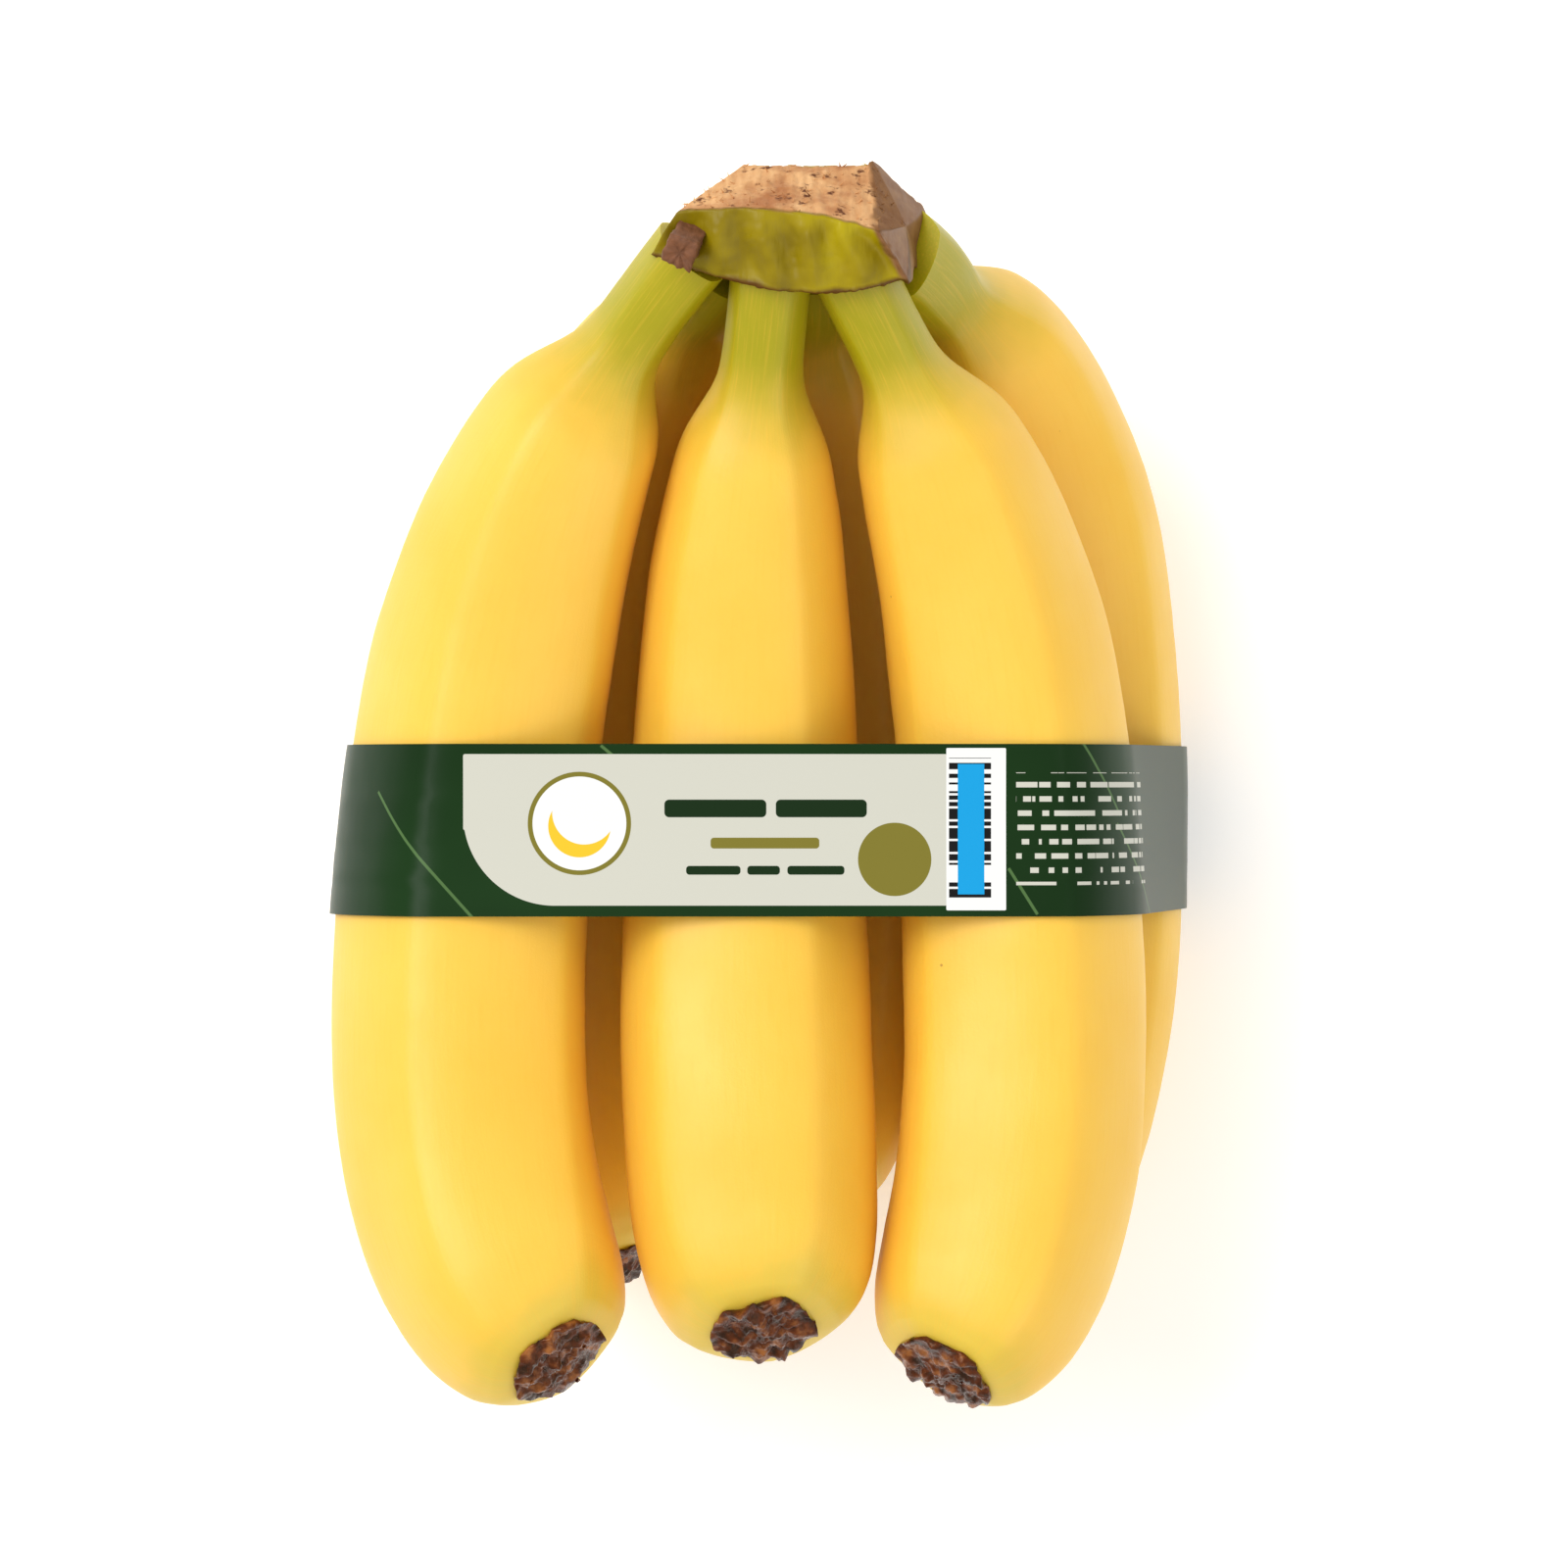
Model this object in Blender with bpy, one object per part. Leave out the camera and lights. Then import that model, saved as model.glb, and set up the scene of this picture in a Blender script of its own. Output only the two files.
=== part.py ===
"""A bunch of six bananas lying on its back, as cut from the plant: three fingers in front, three
behind them, the crown that they grow from, the dried stump of a seventh, and a wrap band.

The stem end points to +Y, the hollow side of the fingers faces up, and the band's underside is at
Z = 0. Sizes are in millimetres in the layout's own frame, and MM turns them into Blender's metres.
"""

import math
from collections import namedtuple

import bmesh
import bpy
import numpy as np
from mathutils import Vector

MM = 0.001

# The fingers' own sizes.
FINGER_WIDTH = 39.6  # largest width, across the corners of the rounded five-sided section
FRONT_REACH = 152.0  # along Y, from the crown's lip to a front finger's blossom end
BACK_REACH = 144.0  # the same for a back finger
PEDICEL_WIDTH = 11.8  # the stalk between the crown and the finger
BLOSSOM_WIDTH = 16.0  # the scar that the flower left
CORNER_SHARPNESS = 5.0  # exponent of the section's rounded pentagon; more is sharper
RIDGE_SHARE = 0.55  # how much of that pentagon shows in the round section

# How the fingers are packed.
SKIN_GAP = 0.5  # the least space between two fingers' skins
FRONT_GAP = 1.4  # the open space between neighbours in the front row, at the belly
ROW_SHIFT = 10.6  # how far the back row sits to the right of the front row
BELLY_FROM_CROWN = 81.0  # along Y, from the crown's lip to where the fingers lie lowest

# The crown.
CROWN_HEIGHT = 20.5  # along Y, from the lip over the pedicels to the top of the cut
CROWN_BROW = 12.1  # along Z, from the front pedicels' middle up to the crown's highest edge
CROWN_SOLE = 7.1  # along Z, from the back pedicels' middle down to its underside
CROWN_LIFT = 66.0  # height of its underside over the floor
CROWN_END_BULGE = 1.0  # how far its two ends are rounded out
ROOT_GAP = 1.0  # between neighbouring pedicels where they leave it
ROOT_DEPTH = 3.0  # how far a pedicel runs into the crown before it is trimmed to it
JOINT_GAP = 0.3  # between the crown and what is trimmed to it

# The wrap band, a strip closed on itself with a lap.
BAND_WIDTH = 25.4
BAND_THICKNESS = 0.4
BAND_CLEARANCE = 0.45  # between the skins and the band
BAND_FROM_BELLY = 3.2  # its middle, towards the crown from the belly line
BAND_LAP = 14.0  # how far its ends overlap

# The stump of the finger that was cut away.
STUMP_LENGTH = 6.5
STUMP_WIDTH = 5.2

# How finely the solids are divided.
RING_SIDES = 20
FINGER_RINGS = 22
CROWN_STATIONS = 13

BELLY_Y = -10.0
LIP_Y = BELLY_Y + BELLY_FROM_CROWN
ROOT_PITCH = PEDICEL_WIDTH + ROOT_GAP
CROWN_WIDTH = 2 * ROOT_PITCH + PEDICEL_WIDTH
BACK_ROOT_Z = CROWN_LIFT + CROWN_SOLE
FRONT_ROOT_Z = BACK_ROOT_Z + PEDICEL_WIDTH
CROWN_TOP = FRONT_ROOT_Z + CROWN_BROW
FRONT_X = -0.58 * ROW_SHIFT
BACK_X = 0.42 * ROW_SHIFT
BACK_LEVEL = BAND_THICKNESS + BAND_CLEARANCE + FINGER_WIDTH / 2
FRONT_PITCH = FINGER_WIDTH + FRONT_GAP
BACK_PITCH = FINGER_WIDTH + SKIN_GAP
LEAST_SHIFT = ROW_SHIFT - (FRONT_PITCH - BACK_PITCH)
FRONT_LEVEL = BACK_LEVEL + math.sqrt((FINGER_WIDTH + SKIN_GAP) ** 2 - LEAST_SHIFT**2)

Finger = namedtuple(
    "Finger",
    "name root splay drop reach belly belly_splay tip tip_splay tip_rise girth shoulder",
)


def finger_between(name, root, belly, far, fan, bow, reach, belly_splay, curl, tip_splay, girth, shoulder):
    """A finger from its root over its belly to its blossom end. far is where that end is from the
    belly in X and Y, and curl is how strongly it bends up there. fan and bow are how many times its
    stalk overdoes the turn and the drop to the belly, so that the fingers part early."""
    x, y, z = (end - start for start, end in zip(root, belly))
    splay = math.degrees(math.atan2(x, -y))
    drop = math.degrees(math.atan2(-z, math.hypot(x, y)))
    rise = curl * (far[0] ** 2 + far[1] ** 2)
    return Finger(
        name=name,
        root=root,
        splay=fan * splay,
        drop=bow * drop,
        reach=reach,
        belly=belly,
        belly_splay=belly_splay,
        tip=(belly[0] + far[0], belly[1] + far[1], belly[2] + rise),
        tip_splay=tip_splay,
        tip_rise=math.degrees(math.atan(2.2 * curl * math.hypot(*far))),
        girth=girth,
        shoulder=shoulder,
    )


def front_finger(name, place, lip, fan, belly_splay, end, curl, tip_splay, girth, shoulder):
    """A finger of the front row. place is -1, 0 or 1 from left to right, lip is how far its root
    stands back from the crown's lip, and end moves its blossom end from straight below the belly."""
    root = (FRONT_X / 2 + place * ROOT_PITCH + 0.9, LIP_Y + lip, FRONT_ROOT_Z)
    belly = (FRONT_X + place * FRONT_PITCH, BELLY_Y, FRONT_LEVEL)
    far = (end[0], LIP_Y - FRONT_REACH - BELLY_Y + end[1])
    return finger_between(
        name, root, belly, far, fan, 1.8, 0.39, belly_splay, curl, tip_splay, girth, shoulder
    )


def back_finger(name, place, lip, fan, belly_splay, end, curl, tip_splay, girth, shoulder):
    """A finger of the back row, nested behind the front row."""
    root = (BACK_X + place * ROOT_PITCH - 0.5, LIP_Y + lip, BACK_ROOT_Z)
    belly = (BACK_X + place * BACK_PITCH, BELLY_Y, BACK_LEVEL)
    far = (end[0], LIP_Y - BACK_REACH - BELLY_Y + end[1])
    return finger_between(
        name, root, belly, far, fan, 2.0, 0.47, belly_splay, curl, tip_splay, girth, shoulder
    )


FINGERS = (
    front_finger("banana_front_left", -1, 4.6, 2.0, -5, (14.2, -3.6), 0.0038, 42, 1.0, 1.0),
    front_finger("banana_front_middle", 0, 1.3, 2.6, 0, (3.1, 0.8), 0.0047, 7, 1.0, 0.0),
    front_finger("banana_front_right", 1, 2.3, 1.85, 2, (-11.6, -5.6), 0.0030, -34, 0.955, 0.9),
    back_finger("banana_back_left", -1, 7.0, 2.65, 0, (8.5, -3.0), 0.0026, 28, 0.98, 0.5),
    back_finger("banana_back_middle", 0, 6.5, 1.0, 0, (-2.5, 8.0), 0.0030, -2, 0.98, 0.0),
    back_finger("banana_back_right", 1, 6.8, 3.4, 0, (-10.5, 0.0), 0.0025, -20, 0.98, 1.25),
)


def smooth_through(points, at):
    """Values at the places at, on a smooth curve that passes through points, (place, value) pairs."""
    x, y = np.array(points, float).T
    steps = np.diff(y) / np.diff(x)
    slopes = np.zeros(len(x))
    inner = steps[:-1] * steps[1:] > 0
    slopes[1:-1][inner] = 2 * (steps[:-1] * steps[1:])[inner] / (steps[:-1] + steps[1:])[inner]
    slopes[0], slopes[-1] = steps[0], steps[-1]
    i = np.clip(np.searchsorted(x, at) - 1, 0, len(steps) - 1)
    width = x[i + 1] - x[i]
    t = (at - x[i]) / width
    return (
        y[i] * (1 + 2 * t) * (1 - t) ** 2
        + y[i + 1] * t**2 * (3 - 2 * t)
        + width * t * (1 - t) * (slopes[i] * (1 - t) - slopes[i + 1] * t)
    )


def heading(splay, climb):
    """The unit vector towards -Y, turned splay degrees to +X and climb degrees up."""
    a, e = math.radians(splay), math.radians(climb)
    return np.array([math.sin(a) * math.cos(e), -math.cos(a) * math.cos(e), math.sin(e)])


def arc_between(start, start_way, end, end_way, reach=0.37, samples=60):
    """A bent line from start to end that leaves and arrives along the given directions."""
    handle = reach * np.linalg.norm(end - start)
    corners = [start, start + handle * start_way, end - handle * end_way, end]
    t = np.linspace(0, 1, samples)[:, None]
    weights = [(1 - t) ** 3, 3 * t * (1 - t) ** 2, 3 * t**2 * (1 - t), t**3]
    return sum(w * c for w, c in zip(weights, corners))


def spine_of(finger):
    """Points along a finger's centreline, from inside the crown to the blossom end."""
    root, belly, tip = (np.array(p, float) for p in (finger.root, finger.belly, finger.tip))
    out_of_crown = heading(finger.splay, -finger.drop)
    along_belly = heading(finger.belly_splay, 0)
    upper = arc_between(root, out_of_crown, belly, along_belly, finger.reach)
    lower = arc_between(belly, along_belly, tip, heading(finger.tip_splay, finger.tip_rise))
    inside = root - ROOT_DEPTH * out_of_crown
    return np.vstack([inside, upper, lower[1:]])


def half_widths(shares, girth, shoulder):
    """Half the finger's width at shares of its length, from the crown to the blossom end.
    shoulder goes from 0, where the stalk widens slowly, to 1."""
    widest = girth * FINGER_WIDTH / 2
    stalk = PEDICEL_WIDTH / 2
    outline = (
        (0.00, stalk),
        (0.06, stalk * 0.99),
        (0.10, stalk * 1.06),
        (0.18, widest * (0.59 + 0.10 * shoulder)),
        (0.29, widest * (0.77 + 0.09 * shoulder)),
        (0.40, widest * (0.86 + 0.10 * shoulder)),
        (0.62, widest * (0.97 + 0.03 * shoulder)),
        (0.76, widest),
        (0.86, widest * 0.97),
        (0.93, widest * 0.89),
        (0.97, widest * 0.75),
        (0.99, widest * 0.61),
        (1.00, BLOSSOM_WIDTH / 2),
    )
    return smooth_through(outline, shares)


def section(angles):
    """A round section drawn towards a rounded pentagon, with its corners at radius 1."""
    facets = np.arange(5) * math.tau / 5
    lean = np.maximum(np.cos(angles[:, None] - facets), 0) ** CORNER_SHARPNESS
    pentagon = lean.sum(1) ** (-1 / CORNER_SHARPNESS)
    corner = (2 * math.cos(math.pi / 5) ** CORNER_SHARPNESS) ** (-1 / CORNER_SHARPNESS)
    return 1 - RIDGE_SHARE * (1 - pentagon / corner)


def finger_rings(finger, rings, sides):
    """The finger's surface as rings of points, from the crown to the blossom end."""
    spine = spine_of(finger)
    lengths = np.r_[0, np.cumsum(np.linalg.norm(np.diff(spine, axis=0), axis=1))]
    shares = np.r_[np.linspace(0, 0.94, rings - 3), 0.97, 0.99, 1]
    centres = np.stack([np.interp(shares * lengths[-1], lengths, spine[:, k]) for k in range(3)], 1)
    ahead = np.stack([np.interp(shares * lengths[-1] + 1, lengths, spine[:, k]) for k in range(3)], 1)
    behind = np.stack([np.interp(shares * lengths[-1] - 1, lengths, spine[:, k]) for k in range(3)], 1)
    along = ahead - behind
    along /= np.linalg.norm(along, axis=1)[:, None]
    up = np.array([0, 0, 1.0]) - along * along[:, 2:3]
    up /= np.linalg.norm(up, axis=1)[:, None]
    side = np.cross(along, up)
    angles = np.arange(sides) * math.tau / sides
    radii = half_widths(shares, finger.girth, finger.shoulder)[:, None] * section(angles - math.pi / 2)
    return (
        centres[:, None]
        + (radii * np.cos(angles))[..., None] * side[:, None]
        + (radii * np.sin(angles))[..., None] * up[:, None]
    )


def loft(name, rings, material):
    """A closed solid through rings of points, each with a flat cap at its end."""
    mesh = bmesh.new()
    loops = [[mesh.verts.new(Vector(p) * MM) for p in ring] for ring in rings]
    for here, there in zip(loops, loops[1:]):
        for k in range(len(here)):
            nxt = (k + 1) % len(here)
            mesh.faces.new((here[k], here[nxt], there[nxt], there[k]))
    mesh.faces.new(loops[0])
    mesh.faces.new(loops[-1])
    bmesh.ops.recalc_face_normals(mesh, faces=mesh.faces)
    return finished(name, mesh, material)


def finished(name, mesh, material):
    """Turns the bmesh into a smooth-shaded object of the scene."""
    data = bpy.data.meshes.new(name)
    mesh.to_mesh(data)
    mesh.free()
    data.shade_smooth()
    data.set_sharp_from_angle(angle=math.radians(35))
    data.materials.append(material)
    obj = bpy.data.objects.new(name, data)
    bpy.context.scene.collection.objects.link(obj)
    return obj


def plain_material(name, colour, roughness):
    material = bpy.data.materials.new(name)
    material.use_nodes = True
    shader = material.node_tree.nodes["Principled BSDF"]
    shader.inputs["Base Color"].default_value = (*colour, 1)
    shader.inputs["Roughness"].default_value = roughness
    shader.inputs["Metallic"].default_value = 0
    return material


def rail(left, middle, right):
    """CROWN_STATIONS points on the parabola through three points, from left to right."""
    t = np.linspace(0, 1, CROWN_STATIONS)[:, None]
    a, b, c = (np.array(p, float) for p in (left, middle, right))
    return a * (1 - t) * (1 - 2 * t) + 4 * b * t * (1 - t) + c * t * (2 * t - 1)


def crown_rings():
    """The crown as sections from left to right. Its rails are the front lip, the front edge and
    the back edge of the sloping cut, and the two lower edges at the back."""
    half = CROWN_WIDTH / 2
    cut_top = LIP_Y + CROWN_HEIGHT
    cut_low = LIP_Y + 0.57 * CROWN_HEIGHT
    brow, cut_back, sole = CROWN_TOP - 3, CROWN_TOP - 19, CROWN_LIFT
    rails = (
        rail(
            (-1.02 * half, LIP_Y + 6, brow - 4),
            (1.5, LIP_Y, brow),
            (0.96 * half, LIP_Y + 3, brow - 4),
        ),
        rail(
            (-0.82 * half, cut_low, CROWN_TOP - 2),
            (0, cut_low, CROWN_TOP),
            (0.74 * half, cut_low - 3, CROWN_TOP - 2),
        ),
        rail(
            (-0.3 * half, cut_top, cut_back),
            (0.2 * half, cut_top, cut_back),
            (0.7 * half, cut_top, cut_back),
        ),
        rail(
            (-0.6 * half, cut_low, sole + 3),
            (1, cut_low + 2, sole),
            (1.13 * half, cut_low + 2.5, sole + 9),
        ),
        rail(
            (-0.97 * half, LIP_Y + 9, sole + 7),
            (1, LIP_Y + 7, sole),
            (1.1 * half, LIP_Y + 6, sole + 6),
        ),
    )
    rings = np.stack(rails, 1)
    ends = []
    for ring, out in ((rings[0], -CROWN_END_BULGE), (rings[-1], CROWN_END_BULGE)):
        middle = ring.mean(axis=0)
        ends.append([middle + 0.55 * (ring - middle) + [out, 0, 0]])
    return np.concatenate([ends[0], rings, ends[1]])


def grown(rings, by):
    """The solid through these rings, with every corner moved out by that distance."""
    source = loft("crown_envelope", rings, None)
    mesh = bmesh.new()
    mesh.from_mesh(source.data)
    mesh.normal_update()
    for vertex in mesh.verts:
        vertex.co += vertex.normal * vertex.calc_shell_factor() * by * MM
    mesh.to_mesh(source.data)
    mesh.free()
    source.hide_render = True
    source.display_type = "WIRE"
    return source


def trimmed_by(obj, cutter):
    modifier = obj.modifiers.new("Trim", "BOOLEAN")
    modifier.operation = "DIFFERENCE"
    modifier.object = cutter


def make_stump(material):
    """A short square peg on the left end of the crown's lip."""
    base = np.array([-0.73 * CROWN_WIDTH / 2, LIP_Y + 8.2, CROWN_TOP - 4.6])
    way = np.array([-0.22, -0.45, 0.87])
    way /= np.linalg.norm(way)
    across = np.cross(way, [0.3, 1, 0])
    across /= np.linalg.norm(across)
    along = np.cross(way, across)
    rings = []
    for share, width in ((0, 1.0), (0.5, 0.9), (1, 1.0)):
        middle = base + way * STUMP_LENGTH * share
        corners = [(-1, -0.8), (0.8, -1), (1, 0.8), (-0.8, 1)]
        rings.append([middle + STUMP_WIDTH / 2 * width * (a * across + b * along) for a, b in corners])
    return loft("cut_stump", rings, material)


def touched_from(way, y):
    """Where a flat board coming from that way in the XZ plane would touch the fingers' skins, close
    to the plane at y."""
    touched = []
    for skin in SKINS:
        near = skin[np.abs(skin[:, 1] - y) < 1.5][:, [0, 2]]
        touched.append(near[(near @ way).argmax()])
    return max(touched, key=lambda point: point @ way)


def band_edge(y):
    """The points that a taut strip touches in the section at y, and the way that it faces there."""
    ways = np.stack([np.cos(BAND_ANGLES), np.sin(BAND_ANGLES)], 1)
    points = np.array([touched_from(way, y) for way in ways])
    straight_down = ways[:, 1] < -0.999999
    points[straight_down, 1] = BAND_THICKNESS + BAND_CLEARANCE
    return y, points, ways


# The strip is worked out in three sections along Y, at these directions in the XZ plane. The two
# in the middle of the underside are next to each other, so that a flat run joins the outer fingers.
SKINS = [finger_rings(finger, 120, 60).reshape(-1, 3) for finger in FINGERS]
BAND_ANGLES = np.sort(
    np.r_[np.radians(np.arange(2.5, 360, 5)), 1.5 * math.pi - 0.001, 1.5 * math.pi + 0.001]
)
BAND_MIDDLE = BELLY_Y + BAND_FROM_BELLY
BAND_EDGES = [band_edge(BAND_MIDDLE + BAND_WIDTH * share) for share in (-0.5, 0, 0.5)]


def band_stations():
    """The strip's corners from end to end, the same ones for each of its sections. Each is the
    place of the angle before it, of the one after it, the share between them, and the layers."""
    corners = [0]
    for k in range(1, len(BAND_ANGLES)):
        if max(np.linalg.norm(points[k] - points[corners[-1]]) for _, points, _ in BAND_EDGES) > 0.8:
            corners.append(k)
    lower_left = [k for k in corners if math.pi < BAND_ANGLES[k] < 1.45 * math.pi]
    skins = BAND_EDGES[0][1]
    runs = [np.linalg.norm(skins[b] - skins[a]) for a, b in zip(lower_left, lower_left[1:])]
    lap_start = lower_left[int(np.argmax(runs))]
    share = BAND_LAP / max(runs)
    stations = []
    for k, after in zip(corners, corners[1:] + corners[:1]):
        stations.append((k, k, 0, 1))
        if k == lap_start:
            for t, layers in ((0.10, 1), (0.11, 2), (0.10 + share, 2), (0.11 + share, 1)):
                stations.append((k, after, t, layers))
    return stations


def make_band(material):
    """The strip round the bunch. One end laps over the other on the lower left."""
    stations = band_stations()
    mesh = bmesh.new()
    sections = []
    for y, points, ways in BAND_EDGES:
        for outside in (False, True):
            loop = []
            for k, n, t, layers in stations:
                out = BAND_CLEARANCE + BAND_THICKNESS * layers * outside
                x, z = (points[k] + out * ways[k]) * (1 - t) + (points[n] + out * ways[n]) * t
                loop.append(mesh.verts.new(Vector((x, y, z)) * MM))
            sections.append(loop)
    inner, outer = sections[0::2], sections[1::2]
    for k in range(len(stations)):
        n = (k + 1) % len(stations)
        for low, high in zip(inner, inner[1:]):
            mesh.faces.new((low[k], low[n], high[n], high[k]))
        for low, high in zip(outer, outer[1:]):
            mesh.faces.new((low[k], high[k], high[n], low[n]))
        mesh.faces.new((inner[0][k], outer[0][k], outer[0][n], inner[0][n]))
        mesh.faces.new((inner[-1][k], inner[-1][n], outer[-1][n], outer[-1][k]))
    bmesh.ops.recalc_face_normals(mesh, faces=mesh.faces)
    return finished("wrap_band", mesh, material)


def centre_on_floor(pieces, helpers):
    """Parents everything to one empty and moves it so that the origin is under the bunch."""
    bpy.context.view_layer.update()
    graph = bpy.context.evaluated_depsgraph_get()
    corners = np.array([c[:] for o in pieces for c in o.evaluated_get(graph).bound_box])
    low, high = corners.min(0), corners.max(0)
    bunch = bpy.data.objects.new("bunch", None)
    bpy.context.scene.collection.objects.link(bunch)
    for obj in pieces + helpers:
        obj.parent = bunch
    bunch.location = (-(low[0] + high[0]) / 2, -(low[1] + high[1]) / 2, -low[2])


def main():
    for obj in list(bpy.data.objects):
        bpy.data.objects.remove(obj)
    peel = plain_material("peel", (0.98, 0.63, 0.09), 0.45)
    fibre = plain_material("crown_fibre", (0.42, 0.30, 0.06), 0.7)
    dried = plain_material("dried_stump", (0.22, 0.09, 0.04), 0.85)
    film = plain_material("band_film", (0.02, 0.07, 0.02), 0.35)

    crown = loft("crown", crown_rings(), fibre)
    envelope = grown(crown_rings(), JOINT_GAP)
    fingers = []
    for finger in FINGERS:
        made = loft(finger.name, finger_rings(finger, FINGER_RINGS, RING_SIDES), peel)
        trimmed_by(made, envelope)
        fingers.append(made)
    stump = make_stump(dried)
    trimmed_by(stump, envelope)
    band = make_band(film)
    centre_on_floor([crown, stump, band, *fingers], [envelope])


main()
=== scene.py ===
"""A bunch of six ripe bananas on its back, as cut from the plant and sold in a printed wrap band.

The crown points to +Y and the hollow side of the fingers faces up. Sizes are in millimetres in the
bunch's own layout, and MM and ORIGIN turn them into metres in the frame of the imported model.
"""

import math

import bmesh
import bpy
import numpy as np
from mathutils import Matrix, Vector, noise


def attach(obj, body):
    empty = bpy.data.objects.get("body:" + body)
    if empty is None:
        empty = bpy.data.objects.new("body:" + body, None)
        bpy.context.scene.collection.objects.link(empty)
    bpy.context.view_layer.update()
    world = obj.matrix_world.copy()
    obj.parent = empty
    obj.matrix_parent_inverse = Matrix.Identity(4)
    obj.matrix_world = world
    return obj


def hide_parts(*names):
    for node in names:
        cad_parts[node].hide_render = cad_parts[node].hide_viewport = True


MM = 0.001
ORIGIN = np.array([1.801, 0.605, 0.0])

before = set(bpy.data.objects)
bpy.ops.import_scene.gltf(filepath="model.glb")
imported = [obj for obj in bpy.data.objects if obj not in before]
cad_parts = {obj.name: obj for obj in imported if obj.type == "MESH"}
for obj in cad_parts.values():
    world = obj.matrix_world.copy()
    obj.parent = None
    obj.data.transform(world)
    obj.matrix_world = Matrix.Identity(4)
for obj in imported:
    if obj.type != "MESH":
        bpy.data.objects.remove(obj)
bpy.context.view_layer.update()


# ---------------------------------------------------------------------------------------------
# The fingers: six Cavendish bananas in two rows, a soft waxy peel over a five-sided body that
# grew upwards against the light. Each is a section carried along its bent middle line.

FINGER_WIDTH = 39.6
FRONT_REACH = 152.0
BACK_REACH = 144.0
PEDICEL_WIDTH = 11.8
BLOSSOM_WIDTH = 16.0
SKIN_GAP = 0.5
FRONT_GAP = 1.4
ROW_SHIFT = 10.6
BELLY_Y = -10.0
LIP_Y = 71.0
CROWN_LIFT = 66.0
CROWN_TOP = 97.0
ROOT_PITCH = 12.8
BACK_ROOT_Z = 73.1
FRONT_ROOT_Z = BACK_ROOT_Z + PEDICEL_WIDTH
FRONT_X = -0.58 * ROW_SHIFT
BACK_X = 0.42 * ROW_SHIFT
BACK_LEVEL = 0.85 + FINGER_WIDTH / 2
FRONT_PITCH = FINGER_WIDTH + FRONT_GAP
BACK_PITCH = FINGER_WIDTH + SKIN_GAP
NEST_SHIFT = ROW_SHIFT - (FRONT_PITCH - BACK_PITCH)
FRONT_LEVEL = BACK_LEVEL + math.sqrt((FINGER_WIDTH + SKIN_GAP) ** 2 - NEST_SHIFT**2)
SPINE_STEPS = 120
TIP_STEPS = 44
PEEL_SIDES = 96
RIDGE_DEPTH = 0.075
RIDGE_SOFTNESS = 0.55
FRONT_FLARE = 0.06
BACK_FLARE = 0.45

PEEL_YELLOW = "#f2c54c"
PEEL_GOLD = "#ecb737"
STALK_GREEN = "#a59b00"
TIP_GREEN = "#c9b53c"
FRECKLE_BROWN = "#7a4a12"


def linear(colour):
    """An sRGB hex colour as the linear values that the nodes take."""
    shares = [int(colour[i : i + 2], 16) / 255 for i in (1, 3, 5)]
    return [c / 12.92 if c <= 0.04045 else ((c + 0.055) / 1.055) ** 2.4 for c in shares] + [1.0]


def add(tree, kind, inputs=None, **settings):
    """Adds a node with its settings. inputs holds, by socket name or number, a value or a socket."""
    made = tree.nodes.new(kind)
    for setting, value in settings.items():
        setattr(made, setting, value)
    for socket, value in (inputs or {}).items():
        if isinstance(value, bpy.types.NodeSocket):
            tree.links.new(value, made.inputs[socket])
        else:
            made.inputs[socket].default_value = value
    return made


def finish_named(name):
    """An empty material with a shader, as (material, tree, shader)."""
    material = bpy.data.materials.new(name)
    material.use_nodes = True
    tree = material.node_tree
    return material, tree, tree.nodes["Principled BSDF"]


def tree_with(name, sizes):
    """A Geometry Nodes tree with a named input for each size, as (tree, inputs, output node)."""
    tree = bpy.data.node_groups.new(name, "GeometryNodeTree")
    geometry = {"name": "Geometry", "socket_type": "NodeSocketGeometry"}
    tree.interface.new_socket(in_out="INPUT", **geometry)
    for size, kind in sizes.items():
        tree.interface.new_socket(name=size, in_out="INPUT", socket_type=kind)
    tree.interface.new_socket(in_out="OUTPUT", **geometry)
    return tree, tree.nodes.new("NodeGroupInput").outputs, tree.nodes.new("NodeGroupOutput")


def grown_by(tree, name, start, sizes):
    """The plain mesh object that the tree makes of a start mesh with these sizes."""
    obj = bpy.data.objects.new(name, start)
    bpy.context.scene.collection.objects.link(obj)
    modifier = obj.modifiers.new("Grow", "NODES")
    modifier.node_group = tree
    for socket in tree.interface.items_tree:
        if socket.in_out == "INPUT" and socket.name in sizes:
            modifier[socket.identifier] = sizes[socket.name]
    graph = bpy.context.evaluated_depsgraph_get()
    graph.update()
    grown = bpy.data.meshes.new_from_object(
        obj.evaluated_get(graph), preserve_all_data_layers=True, depsgraph=graph
    )
    obj.modifiers.clear()
    obj.data = grown
    return obj


def smooth_through(points, at):
    """Values at the places at, on a smooth curve that passes through (place, value) pairs."""
    x, y = np.array(points, float).T
    steps = np.diff(y) / np.diff(x)
    slopes = np.zeros(len(x))
    inner = steps[:-1] * steps[1:] > 0
    slopes[1:-1][inner] = 2 * (steps[:-1] * steps[1:])[inner] / (steps[:-1] + steps[1:])[inner]
    slopes[0], slopes[-1] = steps[0], steps[-1]
    i = np.clip(np.searchsorted(x, at) - 1, 0, len(steps) - 1)
    width = x[i + 1] - x[i]
    t = (at - x[i]) / width
    return (
        y[i] * (1 + 2 * t) * (1 - t) ** 2
        + y[i + 1] * t**2 * (3 - 2 * t)
        + width * t * (1 - t) * (slopes[i] * (1 - t) - slopes[i + 1] * t)
    )


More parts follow.
